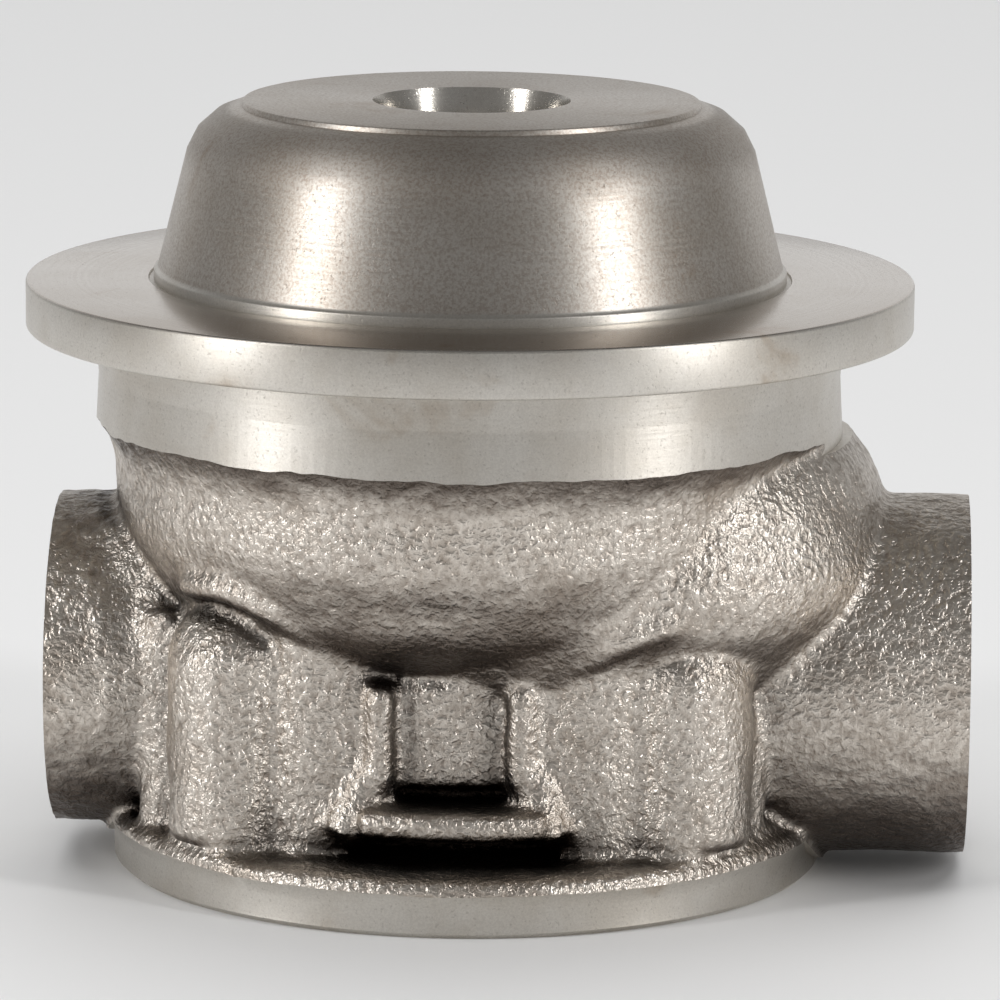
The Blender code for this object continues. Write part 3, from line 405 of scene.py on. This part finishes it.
# The casting, raw: every lump is a loose closed shape, then one skin is drawn over them all
rawCasting = {
    "body": [
        (0, 47), (36.4, 47), (36.4, 43.9, 1.0), (31.8, 38.4, 2.2), (31.8, 31.8, 2.6), (28.4, 25.0, 1.6),
        (21.0, 20.0, 1.0), (21.0, 5.0), (32.7, 5.2, 1.0), (32.7, -1.0), (0, -1.0),
    ],
    "hoodX": 14.0, "hoodWiden": 1.05,
    "hood": [
        (0, 42.0), (20.0, 42.0), (20.4, 39.6, 0.8), (22.7, 37.2, 2.4), (25.1, 28.2, 3.6), (23.4, 24.4, 2.4),
        (20.0, 19.0, 2.0), (0, 18.0),
    ],
    "inlet": (-38.5, 15.1, 17.6), "drain": (46.5, 16.25, 17.3), "bossRoot": 14,
    "shelves": ((-30.0, -21.5, 29.8, 8.4, 2.6), (24.5, 33.0, 31.4, 6.6, 1.2)),
    "shelfFoot": 2.0, "shelfReach": (19, 20), "bridgeX": 7.0, "bridgeMore": 3.8, "bridgeWiden": 0.97,
    "voxel": 0.455, "smoothing": 5, "bumps": ((0.16, 0.20), (0.40, 0.12), (0.85, 0.06)),
    "longBumps": (-28, (0.7, 0.7, 0.33), 0.16),
}

# Each screw lobe is a domed column before a wider swelling, whose top edge is an arch under the bowl
lobes = {
    "low": 5.9, "dome": 4.6, "bead": 1.25, "beadSteps": 12,
    "left": {
        "column": (-19.7, 18.3, 6.0), "top": 26.4, "swelling": (-11.6, 16.7, 7.6), "ring": (-14.5, 14.5, 9.8),
        "arch": (21.3, 7.4),
        "reach": (-25, 85), "rise": 29.6},
    "right": {
        "column": (19.8, 18.0, 6.2), "top": 24.9, "swelling": (11.9, 16.7, 7.7), "ring": (14.7, 14.7, 10.2),
        "arch": (20.6, 6.3),
        "reach": (-75, 70), "rise": 27.2},
}

# Wall between two lobes, with a framed panel in it, a slot under the panel and a ledge under the slot.
# Distances are from the rotor axis, on the front; the back has the same wall.
pocket = {
    "wall": 23.8, "wallHalf": 11.0, "wallTop": 20.7, "half": 5.0, "shift": -0.35, "low": 9.9, "slotTop": 11.2,
    "slotDepth": 19.5, "panel": 23.7, "panelRadius": 12.0, "panelGaps": (0.5, 0.3), "frameOut": 25.1,
    "frameWidth": 2.4, "frameTop": 20.7, "frameEdge": 1.0, "ledgeHalf": 8.1, "ledgeOut": 28.1,
    "ledgeLow": 7.5, "root": -12, "ledgeRoot": -18, "past": 40,
    "flare": 2.0, "flareRoot": (0.6, 2.2, 1.5), "flareFoot": (3.4, 1.0, -0.4),
}

# Beads of metal where the bosses run into the body: (x, y, z) on the front, mirrored to the back
beads = {
    "inlet": ((-33.0, -4.0, 30.4), (-31.2, -7.4, 29.1), (-28.9, -9.9, 27.0), (-26.8, -11.9, 24.6),
              (-26.9, -13.1, 22.2), (-27.0, -13.4, 19.4), (-27.0, -13.4, 14.8), (-27.2, -12.4, 9.4)),
    "drain": ((25.6, -15.2, 17.0), (25.9, -15.4, 12.0), (25.8, -14.8, 6.4)),
    "inletRadius": 2.0, "drainRadius": 1.5, "filler": (-26.0, 12.9, 2.7, 5.0, 25.0),
}


def rawLumps(raw):
    bridge = [(corner[0] + raw["bridgeMore"] if corner[0] else 0, *corner[1:]) for corner in raw["hood"]]
    lumps = [
        spun("rawBody", raw["body"], "castIron"),
        spun("rawHood", raw["hood"], "castIron", centre=(raw["hoodX"], 0, 0), widen=raw["hoodWiden"],
             rounding=4),
        spun("rawBridge", bridge, "castIron", centre=(raw["bridgeX"], 0, 0), widen=raw["bridgeWiden"],
             rounding=4)]
    for end, radius, height in (raw["inlet"], raw["drain"]):
        root = math.copysign(raw["bossRoot"], end)
        lumps.append(rod("rawBoss", (root, 0, height), (end, 0, height), radius, "castIron", 96))
    reach, high = raw["shelfReach"]
    for near, far, radius, top, rounding in raw["shelves"]:
        corners = [(0, top), (radius, top, rounding), (radius, raw["shelfFoot"]), (0, raw["shelfFoot"])]
        limits = brick("shelfReach", (near, -reach, 0), (far, reach, high), "castIron")
        lumps.append(carve(spun("rawShelf", corners, "castIron"), [limits], "INTERSECT"))
    for turn in (0, math.pi):
        lumps += frontWall(pocket, turn)
    for side in (-1, 1):
        lumps += rawLobe(lobes["left"], side) + rawLobe(lobes["right"], side)
        for name in ("inlet", "drain"):
            points = [(x, -side * y, z) for x, y, z in beads[name]]
            lumps += bead(points, beads[name + "Radius"])
        x, y, radius, bottom, top = beads["filler"]
        lumps.append(rod("rawFiller", (x, side * y, bottom), (x, side * y, top), radius, "castIron"))
    return lumps


def bead(points, radius):
    ends = zip(points, points[1:])
    return [rod("rawBead", first, second, radius, "castIron", 16) for first, second in ends]


def rawLobe(lobe, side):
    low, top, high = lobes["low"], lobe["top"], lobe["rise"]
    x, y, radius = lobe["column"]
    column = spun(
        "rawColumn", [(0, top), (radius, top, lobes["dome"]), (radius, low, 0.5), (0, low)], "castIron", 64,
        centre=(x, side * y, 0), rounding=8)
    x, y, radius = lobe["swelling"]
    swelling = spun(
        "rawSwelling", [(0, high), (radius, high, 1.5), (radius, low, 0.5), (0, low)], "castIron", 64,
        centre=(x, side * y, 0))
    x, y, radius = lobe["ring"]
    base, height = lobe["arch"]
    outward = math.atan2(y, x)
    start, end = lobe["reach"]
    points = []
    for step in range(lobes["beadSteps"] + 1):
        off = math.radians(start + (end - start) * step / lobes["beadSteps"])
        angle = outward - off
        points.append((
            x + radius * math.cos(angle), side * (y + radius * math.sin(angle)),
            base + height * math.cos(off)))
    return [column, swelling] + bead(points, lobes["bead"])


def frontWall(wall, turn):
    half, shift, width, root, past = (wall[key] for key in ("half", "shift", "frameWidth", "root", "past"))
    low, top, slotTop, panelRadius = (wall[key] for key in ("ledgeLow", "wallTop", "slotTop", "panelRadius"))
    back = brick(
        "rawWall", (-wall["wallHalf"], -wall["wall"], low), (wall["wallHalf"], root, top), "castIron")
    carve(back, [brick(
        "rawHollow", (shift - half, -past, wall["low"]), (shift + half, -wall["slotDepth"], past),
        "castIron")])
    panel = spun(
        "rawPanel", [(0, top), (panelRadius, top, 0.6), (panelRadius, slotTop, 0.5), (0, slotTop)],
        "castIron", centre=(shift, panelRadius - wall["panel"], 0))
    leftGap, rightGap = wall["panelGaps"]
    carve(panel, [brick(
        "panelReach", (shift - half + leftGap, -past, 0), (shift + half - rightGap, root, past), "castIron")],
        "INTERSECT")
    ledge = spun("rawLedge", [
        (0, wall["low"]), (wall["ledgeOut"], wall["low"], 0.6), (wall["ledgeOut"], low, 0.5), (0, low)],
        "castIron")
    carve(ledge, [brick(
        "ledgeReach", (-wall["ledgeHalf"], -past, 0), (wall["ledgeHalf"], wall["ledgeRoot"], past),
        "castIron")], "INTERSECT")
    lumps = [back, panel, ledge]
    for side in (-1, 1):
        middle = shift + side * (half + width / 2)
        lumps.append(brick(
            "rawFrame", (middle - width / 2, -wall["frameOut"], slotTop),
            (middle + width / 2, root, wall["frameTop"]), "castIron", wall["frameEdge"]))
        ends = []
        for key, level in (("flareRoot", slotTop), ("flareFoot", low)):
            aside, inward, up = wall[key]
            ends.append((middle + side * aside, inward - wall["frameOut"], level + up))
        lumps.append(rod("rawFlare", *ends, wall["flare"], "castIron"))
    for lump in lumps:
        lump.data.transform(Matrix.Rotation(turn, 4, "Z"))
    return lumps


def castSkin(lumps, raw):
    # One skin over all lumps, with soft corners and the unevenness of a sand casting
    shape = bmesh.new()
    for lump in lumps:
        shape.from_mesh(lump.data)
        bpy.data.objects.remove(lump)
    skin = draft("castingBody", shape, "castIron")
    remesh = skin.modifiers.new("skin", "REMESH")
    remesh.mode = "VOXEL"
    remesh.voxel_size = raw["voxel"]
    applied(skin)
    shape = bmesh.new()
    shape.from_mesh(skin.data)
    for _ in range(raw["smoothing"]):
        bmesh.ops.smooth_vert(
            shape, verts=shape.verts, factor=0.5, use_axis_x=True, use_axis_y=True, use_axis_z=True)
    shape.normal_update()
    bossFrom, longScale, longHeight = raw["longBumps"]
    moves = []
    for vert in shape.verts:
        spot = vert.co
        amount = sum(noise.noise(spot * scale) * bump for scale, bump in raw["bumps"])
        if spot.x < bossFrom:  # the inlet boss has long bumps, as of a torn sand wall
            amount += noise.noise(spot * Vector(longScale)) * longHeight
        moves.append(vert.normal * amount)
    for vert, move in zip(shape.verts, moves):
        vert.co += move
    shape.to_mesh(skin.data)
    shape.free()
    return skin


# The casting, machined: turned top and foot, faced bosses, bores and drillings
turnedTop = {
    "profile": [
        (0, 69.2), (20.5, 69.2, 0.14), (20.62, 68.72), (24.65, 68.25, 3.6), (28.15, 54.2, 0.25),
        (28.5, 54.0, 0.12), (28.5, 53.0), (28.9, 53.0), (29.0, 53.2), (40.0, 53.2, 0.30), (40.0, 48.9, 0.30),
        (33.9, 48.9), (33.5, 48.5), (33.5, 45.0), (0, 45.0),
    ],
    "outside": 60, "neckRadius": 33.45, "neckLean": 0.3, "neckTop": 47.5, "neckPass": 45.0, "neckLow": 39.3,
    "footRadius": 32.2, "footHeight": 5.0, "footRounding": 2.4, "footEdge": 0.45, "bossClear": 0.7,
    "inletFace": -37.2, "drainFace": 45.3, "sharp": 38,
}
bores = {
    "sealBore": [(0, 75), (10.6, 75), (8.2, 66.8), (8.2, 58.0), (0, 58.0)],
    "cavity": [
        (0, 61.0), (19.0, 61.0, 1.5), (19.0, 53.2, 1.0), (26.2, 46.8, 2.0), (26.2, 34.1, 2.0),
        (16.7, 25.0, 0.8), (11.3, 25.0, 0.8), (11.3, 50.8, 0.4), (0, 50.8),
    ],
    "rib": ((-40, -4.2, 5.0), (-6.7, 4.2, 46.9)),
    "journalBore": [
        (0, 56), (6.72, 56), (6.72, 49.8), (7.77, 49.8), (7.77, 48.2), (6.72, 48.2), (6.72, 39.7),
        (7.77, 39.7), (7.77, 38.1), (6.72, 38.1), (6.72, 36.9), (7.72, 36.9), (7.72, 30.2), (6.72, 30.2),
        (6.72, 29.0), (7.77, 29.0), (7.77, 27.4), (6.72, 27.4), (6.72, 18.0), (0, 18.0),
    ],
    "recess": [
        (0, 18.9), (10.6, 18.9), (10.6, 16.0), (17.0, 16.0), (17.0, 8.3), (18.5, 8.3), (18.5, 2.85),
        (19.7, 2.85), (19.7, 1.15), (18.5, 1.15), (18.5, 0.4), (23.9, -5.0), (0, -5.0),
    ],
    "facing": (5, 30, -10, 45), "inletSpot": (8.8, 0.5), "inletPort": (5.2, 13.2, 1.5),
    "compressorFeed": ((-6.1, 0, 23.15), 1.8), "turbineFeed": ((-14.5, 0, 15.1), (-6.1, 0, 43.95), 1.5),
    "drainBore": (12.3, 8.0), "throat": (25.2, 7, 32), "window": ((4, -4, 31.2), (16.3, 4, 35.9)),
    "drainBolt": (12.2, 11, 2.1, 0.8), "footBolt": (23.7, 15, 2.5, 1.0),
    "screwCircle": 13.3, "screws": (60, 140, 300), "pins": (100, 240), "fixingHole": 1.55, "fixingFace": 15.7,
    "screwDepth": 6.1, "pinDepth": 4.1,
}


def tappedHole(name, start, end, core, pitch):
    # Hole with a countersunk mouth and thread grooves, as rings one pitch apart
    start, end = Vector(start), Vector(end)
    depth = (end - start).length
    crest, root, mouth = core, core + pitch * 0.54, 0.4
    corners = [(0, -4), (root + 4 + mouth, -4), (root + mouth, 0), (crest, root - crest + mouth)]
    height = root - crest + mouth + pitch * 0.3
    while height < depth - pitch * 2:
        corners += [(crest, height), (root, height + pitch * 0.45), (root, height + pitch * 0.55)]
        height += pitch
        corners.append((crest, height - pitch * 0.02))
    corners += [(crest, depth), (0, depth + core * 0.55)]
    made = spun(name, corners, "boredIron", steps=smallTurn)
    turned = (end - start).to_track_quat("Z", "Y").to_matrix().to_4x4()
    made.data.transform(Matrix.Translation(start) @ turned)
    return made


def castingTools(cuts, top):
    inletZ, drainZ = rawCasting["inlet"][2], rawCasting["drain"][2]
    inletX, drainX = top["inletFace"], top["drainFace"]
    cavity = spun("cavity", cuts["cavity"], "castIron")
    carve(cavity, [brick("rib", *cuts["rib"], "castIron", 1.0)])
    past, half, low, high = cuts["facing"]
    portRadius, portDepth, portPitch = cuts["inletPort"]
    spotRadius, spotDepth = cuts["inletSpot"]
    spotX, portX = inletX + spotDepth, inletX + portDepth
    feedEnd, feedRadius = cuts["compressorFeed"]
    boreX, boreRadius = cuts["drainBore"]
    throatX, throatHalf, throatHigh = cuts["throat"]
    tools = [
        brick("inletFacing", (inletX - past, -half, low), (inletX, half, high), "milledIron"),
        brick("drainFacing", (drainX, -half, low), (drainX + past, half, high), "milledIron"),
        cavity,
        spun("journalBore", cuts["journalBore"], "boredIron"),
        spun("recess", cuts["recess"], "boredIron", steps=finestTurn),
        spun("sealBore", cuts["sealBore"], "boredIron"),
        rod("spotFace", (inletX - 3, 0, inletZ), (spotX, 0, inletZ), spotRadius, "milledIron", 96),
        tappedHole("inletPort", (spotX, 0, inletZ), (portX, 0, inletZ), portRadius, portPitch),
        rod("compressorFeed", (portX - 1, 0, inletZ), feedEnd, feedRadius, "boredIron"),
        rod("turbineFeed", *cuts["turbineFeed"], "boredIron"),
        rod("drainBore", (boreX, 0, drainZ), (drainX + past, 0, drainZ), boreRadius, "castIron", 96),
        brick(
            "drainThroat", (boreX, -throatHalf, drainZ), (throatX, throatHalf, throatHigh), "castIron", 1.0),
        brick("drainWindow", *cuts["window"], "castIron"),
    ]
    aside, depth, core, pitch = cuts["drainBolt"]
    for side in (-1, 1):
        tools.append(tappedHole(
            "drainBolt", (drainX, side * aside, drainZ), (drainX - depth, side * aside, drainZ), core, pitch))
    circle, depth, core, pitch = cuts["footBolt"]
    for number in range(4):
        spot = roundAxis(circle, 45 + 90 * number)
        tools.append(tappedHole("footBolt", spot, spot + Vector((0, 0, depth)), core, pitch))
    for angle in cuts["screws"] + cuts["pins"]:
        depth = cuts["screwDepth"] if angle in cuts["screws"] else cuts["pinDepth"]
        spot = roundAxis(cuts["screwCircle"], angle, cuts["fixingFace"])
        tools.append(rod(
            "fixingHole", spot, spot + Vector((0, 0, depth)), cuts["fixingHole"], "boredIron", 24))
    return tools


def makeCasting():
    top, raw = turnedTop, rawCasting
    casting = castSkin(rawLumps(raw), raw)
    print("cast skin:", len(casting.data.polygons), "faces")
    out, neck, passed = top["outside"], top["neckRadius"], top["neckPass"]
    low, high = top["neckLow"], top["neckTop"]
    neckTool = spun("neckTool", [
        (neck, high), (out, high), (out, low), (neck + top["neckLean"], low), (neck, passed)],
        "turnedIron", finestTurn, True)
    foot, high, edge = top["footRadius"], top["footHeight"], top["footEdge"]
    footTool = spun("footTool", [
        (out, high), (foot, high, top["footRounding"]), (foot, edge), (foot - edge, 0), (0, 0), (0, -3),
        (out, -3)], "turnedIron", finestTurn, True)
    kept = []
    for end, radius, height in (raw["inlet"], raw["drain"]):  # the bosses overhang the turned foot
        near, far = (math.copysign(reach, end) for reach in (20, 64))
        kept.append(rod(
            "bossKept", (near, 0, height), (far, 0, height), radius + top["bossClear"], "turnedIron", 96))
    carve(casting, [carve(footTool, kept), neckTool])
    carve(casting, [spun("turnedTop", top["profile"], "turnedIron", finestTurn)], "UNION")
    carve(casting, castingTools(bores, top))
    seated(casting, "housing", "housing_casting", top["sharp"])
    print("casting:", len(casting.data.polygons), "faces")


makeCasting()


# The inner pieces are turned, so their profiles' corners are (radius, height, rounding) as well
journal = {
    "profile": [
        (4.0, 4.25, 0.15), (6.6, 4.25, 0.4), (6.6, 1.4), (6.0, 1.4), (6.0, -1.4), (6.6, -1.4),
        (6.6, -4.25, 0.4), (4.0, -4.25, 0.15)],
    "half": 4.25, "oilHole": 0.9, "oilAngles": (0, 60, 120), "reach": 9, "turbine": 39.7, "compressor": 18.9,
}


def makeJournal(name, node, body, low):
    centre = Vector((0, 0, low + journal["half"]))
    made = spun(name, journal["profile"], "bronze", closed=True, centre=centre)
    across = [roundAxis(journal["reach"], angle) for angle in journal["oilAngles"]]
    carve(made, [
        rod("oilHole", centre - arm, centre + arm, journal["oilHole"], "bronze", 24) for arm in across])
    seated(made, body, node)


def splitRing(name, node, finish, section, mouth, level=0.0):
    # Ring with a gap facing +X; the section's corners are (radius, height)
    shape = bmesh.new()
    verts = [shape.verts.new((r, 0, z + level)) for r, z in section]
    edges = [shape.edges.new((verts[i - 1], verts[i])) for i in range(len(verts))]
    bmesh.ops.rotate(shape, verts=verts, matrix=Matrix.Rotation(math.radians(mouth / 2), 3, "Z"))
    bmesh.ops.spin(
        shape, geom=verts + edges, angle=math.radians(360 - mouth), steps=96, axis=(0, 0, 1), cent=(0, 0, 0))
    bmesh.ops.holes_fill(shape, edges=[e for e in shape.edges if e.is_boundary], sides=0)
    made = draft(name, shape, finish)
    if node:
        seated(made, "housing", node)
    return made


def circleOf(radius, centre, steps=12):
    return [
        (centre + radius * math.cos(math.tau * i / steps), radius * math.sin(math.tau * i / steps))
        for i in range(steps)]


def boxSection(inner, outer, low, high):
    return [(inner, high), (outer, high), (outer, low), (inner, low)]


thrustDisc = {
    "profile": [(5.6, 15.7, 0.2), (16.7, 15.7, 0.4), (16.7, 12.0, 0.4), (5.6, 12.0, 0.2)],
    "faces": (12.0, 15.7), "grooves": (60, 180, 300), "groove": (4.4, 9.6, 0.6, 0.5),
    "feed": ((-14.2, 0, 13.85), (-14.2, 0, 17), 1.5), "holes": (10, 18),
}
notch = {"from": 13.3, "to": 20, "half": 5, "rounding": 0.5}  # the drain side of the disc and the deflector


def drainNotch(finish, low, high):
    return brick(
        "drainNotch", (notch["from"], -notch["half"], low), (notch["to"], notch["half"], high), finish,
        notch["rounding"])


def makeThrustBearing(look):
    disc = spun("thrustDisc", look["profile"], "bronze", closed=True)
    near, far, half, deep = look["groove"]
    tools = [
        brick("oilGroove", (near, -half, level - deep), (far, half, level + deep), "bronze",
              turn=math.radians(angle))
        for angle in look["grooves"] for level in look["faces"]]
    low, high = look["holes"]
    for angle in bores["screws"] + bores["pins"]:
        spot = roundAxis(bores["screwCircle"], angle)
        start, end = spot + Vector((0, 0, low)), spot + Vector((0, 0, high))
        tools.append(rod("discHole", start, end, bores["fixingHole"], "bronze", 24))
    tools.append(rod("discFeed", *look["feed"], "bronze", 24))
    tools.append(drainNotch("bronze", low, high))
    seated(carve(disc, tools), "housing", "thrust_bearing")


fixings = {
    "screw": [
        (0, 21.5), (1.25, 21.5, 0.3), (1.25, 11.7), (2.3, 11.7, 0.15), (2.3, 9.9, 0.35), (0, 9.9)],
    "socket": (9, 10.9, 1.1), "pin": [(0, 19.5), (1.25, 19.5, 0.4), (1.25, 12.0, 0.4), (0, 12.0)],
}


def makeFixings(look):
    low, high, radius = look["socket"]
    for number, angle in enumerate(bores["screws"], 1):
        spot = roundAxis(bores["screwCircle"], angle)
        screw = spun(f"thrustScrew{number}", look["screw"], "screwSteel", smallTurn, centre=spot)
        carve(screw, [rod(
            "socket", spot + Vector((0, 0, low)), spot + Vector((0, 0, high)), radius, "screwSteel", 6)])
        seated(screw, "housing", f"thrust_bearing_screw_{number}")
    for number, angle in enumerate(bores["pins"], 1):
        spot = roundAxis(bores["screwCircle"], angle)
        pin = spun(f"thrustPin{number}", look["pin"], "groundSteel", smallTurn, centre=spot)
        seated(pin, "housing", f"thrust_bearing_pin_{number}")


# The collar and the sleeve are clamped together on the shaft; the sleeve carries the oil slinger
thrustSet = {
    "thrustCollar": [
        (3.3, 18.6, 0.2), (9.6, 18.6, 0.4), (9.6, 16.0, 0.2), (5.36, 16.0), (5.36, 12.0, 0.2),
        (3.3, 12.0, 0.2)],
    "thrustSleeve": [
        (3.3, 11.7, 0.2), (9.6, 11.7, 0.4), (9.6, 9.4, 0.3), (6.2, 9.4, 0.3), (6.2, 7.3), (5.0, 7.3),
        (5.0, 5.7), (6.2, 5.7), (6.2, 5.3), (5.0, 5.3), (5.0, 3.7), (6.2, 3.7), (6.2, 2.2, 0.4),
        (3.3, 2.2, 0.3)],
}


def makeThrustSet(profiles):
    for name, node in (("thrustCollar", "thrust_collar"), ("thrustSleeve", "thrust_sleeve")):
        made = spun(name, profiles[name], "groundSteel", closed=True)
        seated(made, "thrust_set", node)


seal = {
    "deflector": (7.4, 16.7, 8.3, 9.1), "deflectorNotch": (7, 11),
    "plate": [
        (6.6, 8.0, 0.3), (18.2, 8.0, 0.4), (18.2, 6.7), (16.4, 6.7), (16.4, 4.3), (18.2, 4.3),
        (18.2, 3.0, 0.4), (14.0, 3.0, 0.3), (14.0, 4.4, 0.4), (8.6, 4.4, 0.4), (8.6, 3.0, 0.3),
        (6.6, 3.0, 0.3)],
    "cord": (0.9, 17.45, 16), "cordLevel": 5.5, "ring": (5.3, 6.48, -0.5, 0.5), "ringMouth": 8,
    "ringLevels": (4.5, 6.5),
}
clip = {"section": (17.4, 19.4, 1.3, 2.7), "mouth": 46, "eye": 16.35, "lug": 2.1, "hole": 0.8, "above": 4}


def makeSeal(look):
    deflector = spun("oilDeflector", boxSection(*look["deflector"]), "sheetSteel", closed=True)
    carve(deflector, [drainNotch("sheetSteel", *look["deflectorNotch"])])
    seated(deflector, "housing", "oil_deflector")
    plate = spun("sealPlate", look["plate"], "groundSteel", finestTurn, closed=True)
    seated(plate, "housing", "seal_plate")
    section = [(r, z + look["cordLevel"]) for r, z in circleOf(*look["cord"])]
    cord = spun("plateCord", section, "sealRubber", closed=True)
    seated(cord, "housing", "seal_plate_o_ring", 80)
    for number, level in enumerate(look["ringLevels"], 1):
        splitRing(
            f"sealRing{number}", f"sleeve_seal_ring_{number}", "springSteel",
            boxSection(*look["ring"]), look["ringMouth"], level)


def makeClip(look):
    low, high = look["section"][2:]
    made = splitRing("plateClip", None, "springSteel", boxSection(*look["section"]), look["mouth"])
    span = look["mouth"] / 2 + math.degrees(look["lug"] / look["eye"])
    spots = [roundAxis(look["eye"], side * span) for side in (-1, 1)]
    under, over = Vector((0, 0, low)), Vector((0, 0, high))
    carve(made, [
        rod("clipLug", spot + under, spot + over, look["lug"], "springSteel", 32) for spot in spots], "UNION")
    carve(made, [
        rod("clipEye", spot, spot + Vector((0, 0, look["above"])), look["hole"], "springSteel", 24)
        for spot in spots])
    seated(made, "housing", "seal_plate_circlip")


snapRing = {
    "section": (0.5, 6.97), "mouth": 50,
    "rings": (
        ("compressorSnapRing", "compressor_bearing_snap_ring", 28.2),
        ("turbineInnerSnapRing", "turbine_bearing_inner_snap_ring", 38.9),
        ("turbineOuterSnapRing", "turbine_bearing_outer_snap_ring", 49.0)),
}
makeJournal("turbineJournal", "turbine_journal_bearing", "turbine_bearing", journal["turbine"])
makeJournal("compressorJournal", "compressor_journal_bearing", "compressor_bearing", journal["compressor"])
for ringName, ringNode, ringLevel in snapRing["rings"]:
    splitRing(
        ringName, ringNode, "springSteel", circleOf(*snapRing["section"]), snapRing["mouth"],
        ringLevel)
makeThrustBearing(thrustDisc)
makeFixings(fixings)
makeThrustSet(thrustSet)
makeSeal(seal)
makeClip(clip)
print("inner pieces made")


# Floor, light and camera
stage = {
    "floor": 6.0, "floorColour": (0.80, 0.80, 0.80), "floorDark": (0.10, 0.10, 0.10), "fade": (-0.46, -0.64),
    "pale": 0.74, "front": 0.23, "back": 0.78, "turnsPale": (0.42, 1.0), "ceiling": 0.15,
    "ceilingFrom": (0.42, 0.80),
    "top": {"place": (0.0, 0.45, 2.4), "size": (3.4, 3.4), "power": 58},
    "left": {"place": (-0.63, -0.36, 0.30), "size": (0.10, 0.60), "power": 2.2},
    "right": {"place": (0.645, -0.363, 0.32), "size": (0.09, 0.60), "power": 2.2},
    "aim": (0.0, 0.0, 0.035),
}
# Pinhole camera found from the ellipses of the flange, foot and nose: millimetres, degrees, sensor widths
seenFrom = {
    "place": (26.79, -568.07, 143.654), "down": 11.045, "heading": 2.415, "roll": 0.461, "focal": 6.3835,
}


def makeFloor():
    # The paper runs on to the horizon, but what the metal mirrors of it ends a little in front
    shape = bmesh.new()
    bmesh.ops.create_grid(shape, x_segments=1, y_segments=1, size=stage["floor"] / 2)
    mesh = bpy.data.meshes.new("floor")
    shape.to_mesh(mesh)
    shape.free()
    floor = bpy.data.objects.new("floor", mesh)
    floor.location = (0, 0, cadLow.z)
    bpy.context.scene.collection.objects.link(floor)
    made, tree, shader, place = newFinish("floorPaper", metallic=0.0)
    along = addNode(tree, "SeparateXYZ", {0: place}).outputs["Y"]
    near = spreadOf(tree, along, stage["fade"][1], stage["fade"][0])
    mirrored = mixOf(tree, near, stage["floorDark"], stage["floorColour"])
    seen = addNode(tree, "LightPath").outputs["Is Camera Ray"]
    tree.links.new(mixOf(tree, seen, mirrored, stage["floorColour"]), shader.inputs["Base Color"])
    shader.inputs["Roughness"].default_value = 0.75
    shader.inputs["Specular IOR Level"].default_value = 0.15
    mesh.materials.append(made)


def makeLamp(name, settings):
    light = bpy.data.lights.new(name, "AREA")
    light.shape = "RECTANGLE"
    light.size, light.size_y = settings["size"]
    light.energy = settings["power"]
    lamp = bpy.data.objects.new(name, light)
    lamp.location = settings["place"]
    toward = Vector(stage["aim"]) - Vector(settings["place"])
    lamp.rotation_mode = "QUATERNION"
    lamp.rotation_quaternion = toward.to_track_quat("-Z", "Y")
    bpy.context.scene.collection.objects.link(lamp)
    return lamp


def makeWorld():
    # A pale studio, darker overhead and on the camera's side, which the metal mirrors
    world = bpy.data.worlds.new("studio")
    bpy.context.scene.world = world
    world.use_nodes = True
    tree = world.node_tree
    backdrop = tree.nodes["Background"]
    direction = addNode(tree, "TexCoord").outputs["Generated"]
    parts = addNode(tree, "SeparateXYZ", {0: direction}).outputs
    glow = spreadOf(tree, parts["Y"], *stage["turnsPale"], stage["front"], stage["back"])
    above = spreadOf(tree, parts["Z"], *stage["ceilingFrom"])
    glow = mixOf(tree, above, glow, [stage["ceiling"]] * 3)
    seen = addNode(tree, "LightPath").outputs["Is Camera Ray"]
    tree.links.new(mixOf(tree, seen, glow, [stage["pale"]] * 3), backdrop.inputs["Color"])


def makeCamera(seen):
    lens = bpy.data.cameras.new("camera")
    lens.sensor_width = 36
    lens.lens = seen["focal"] * lens.sensor_width
    lens.clip_start, lens.clip_end = 0.01, 20
    camera = bpy.data.objects.new("camera", lens)
    turn = Matrix.Rotation(math.radians(seen["heading"]), 4, "Z")
    turn = turn @ Matrix.Rotation(math.radians(90 - seen["down"]), 4, "X")
    turn = turn @ Matrix.Rotation(math.radians(seen["roll"]), 4, "Z")
    camera.matrix_world = Matrix.Translation(toFrame @ Vector(seen["place"])) @ turn
    bpy.context.scene.collection.objects.link(camera)
    bpy.context.scene.camera = camera


makeFloor()
makeLamp("top", stage["top"]).visible_glossy = False
makeLamp("left", stage["left"])
makeLamp("right", stage["right"])
makeWorld()
makeCamera(seenFrom)
bpy.context.scene.view_settings.view_transform = "Standard"
print("stage set")
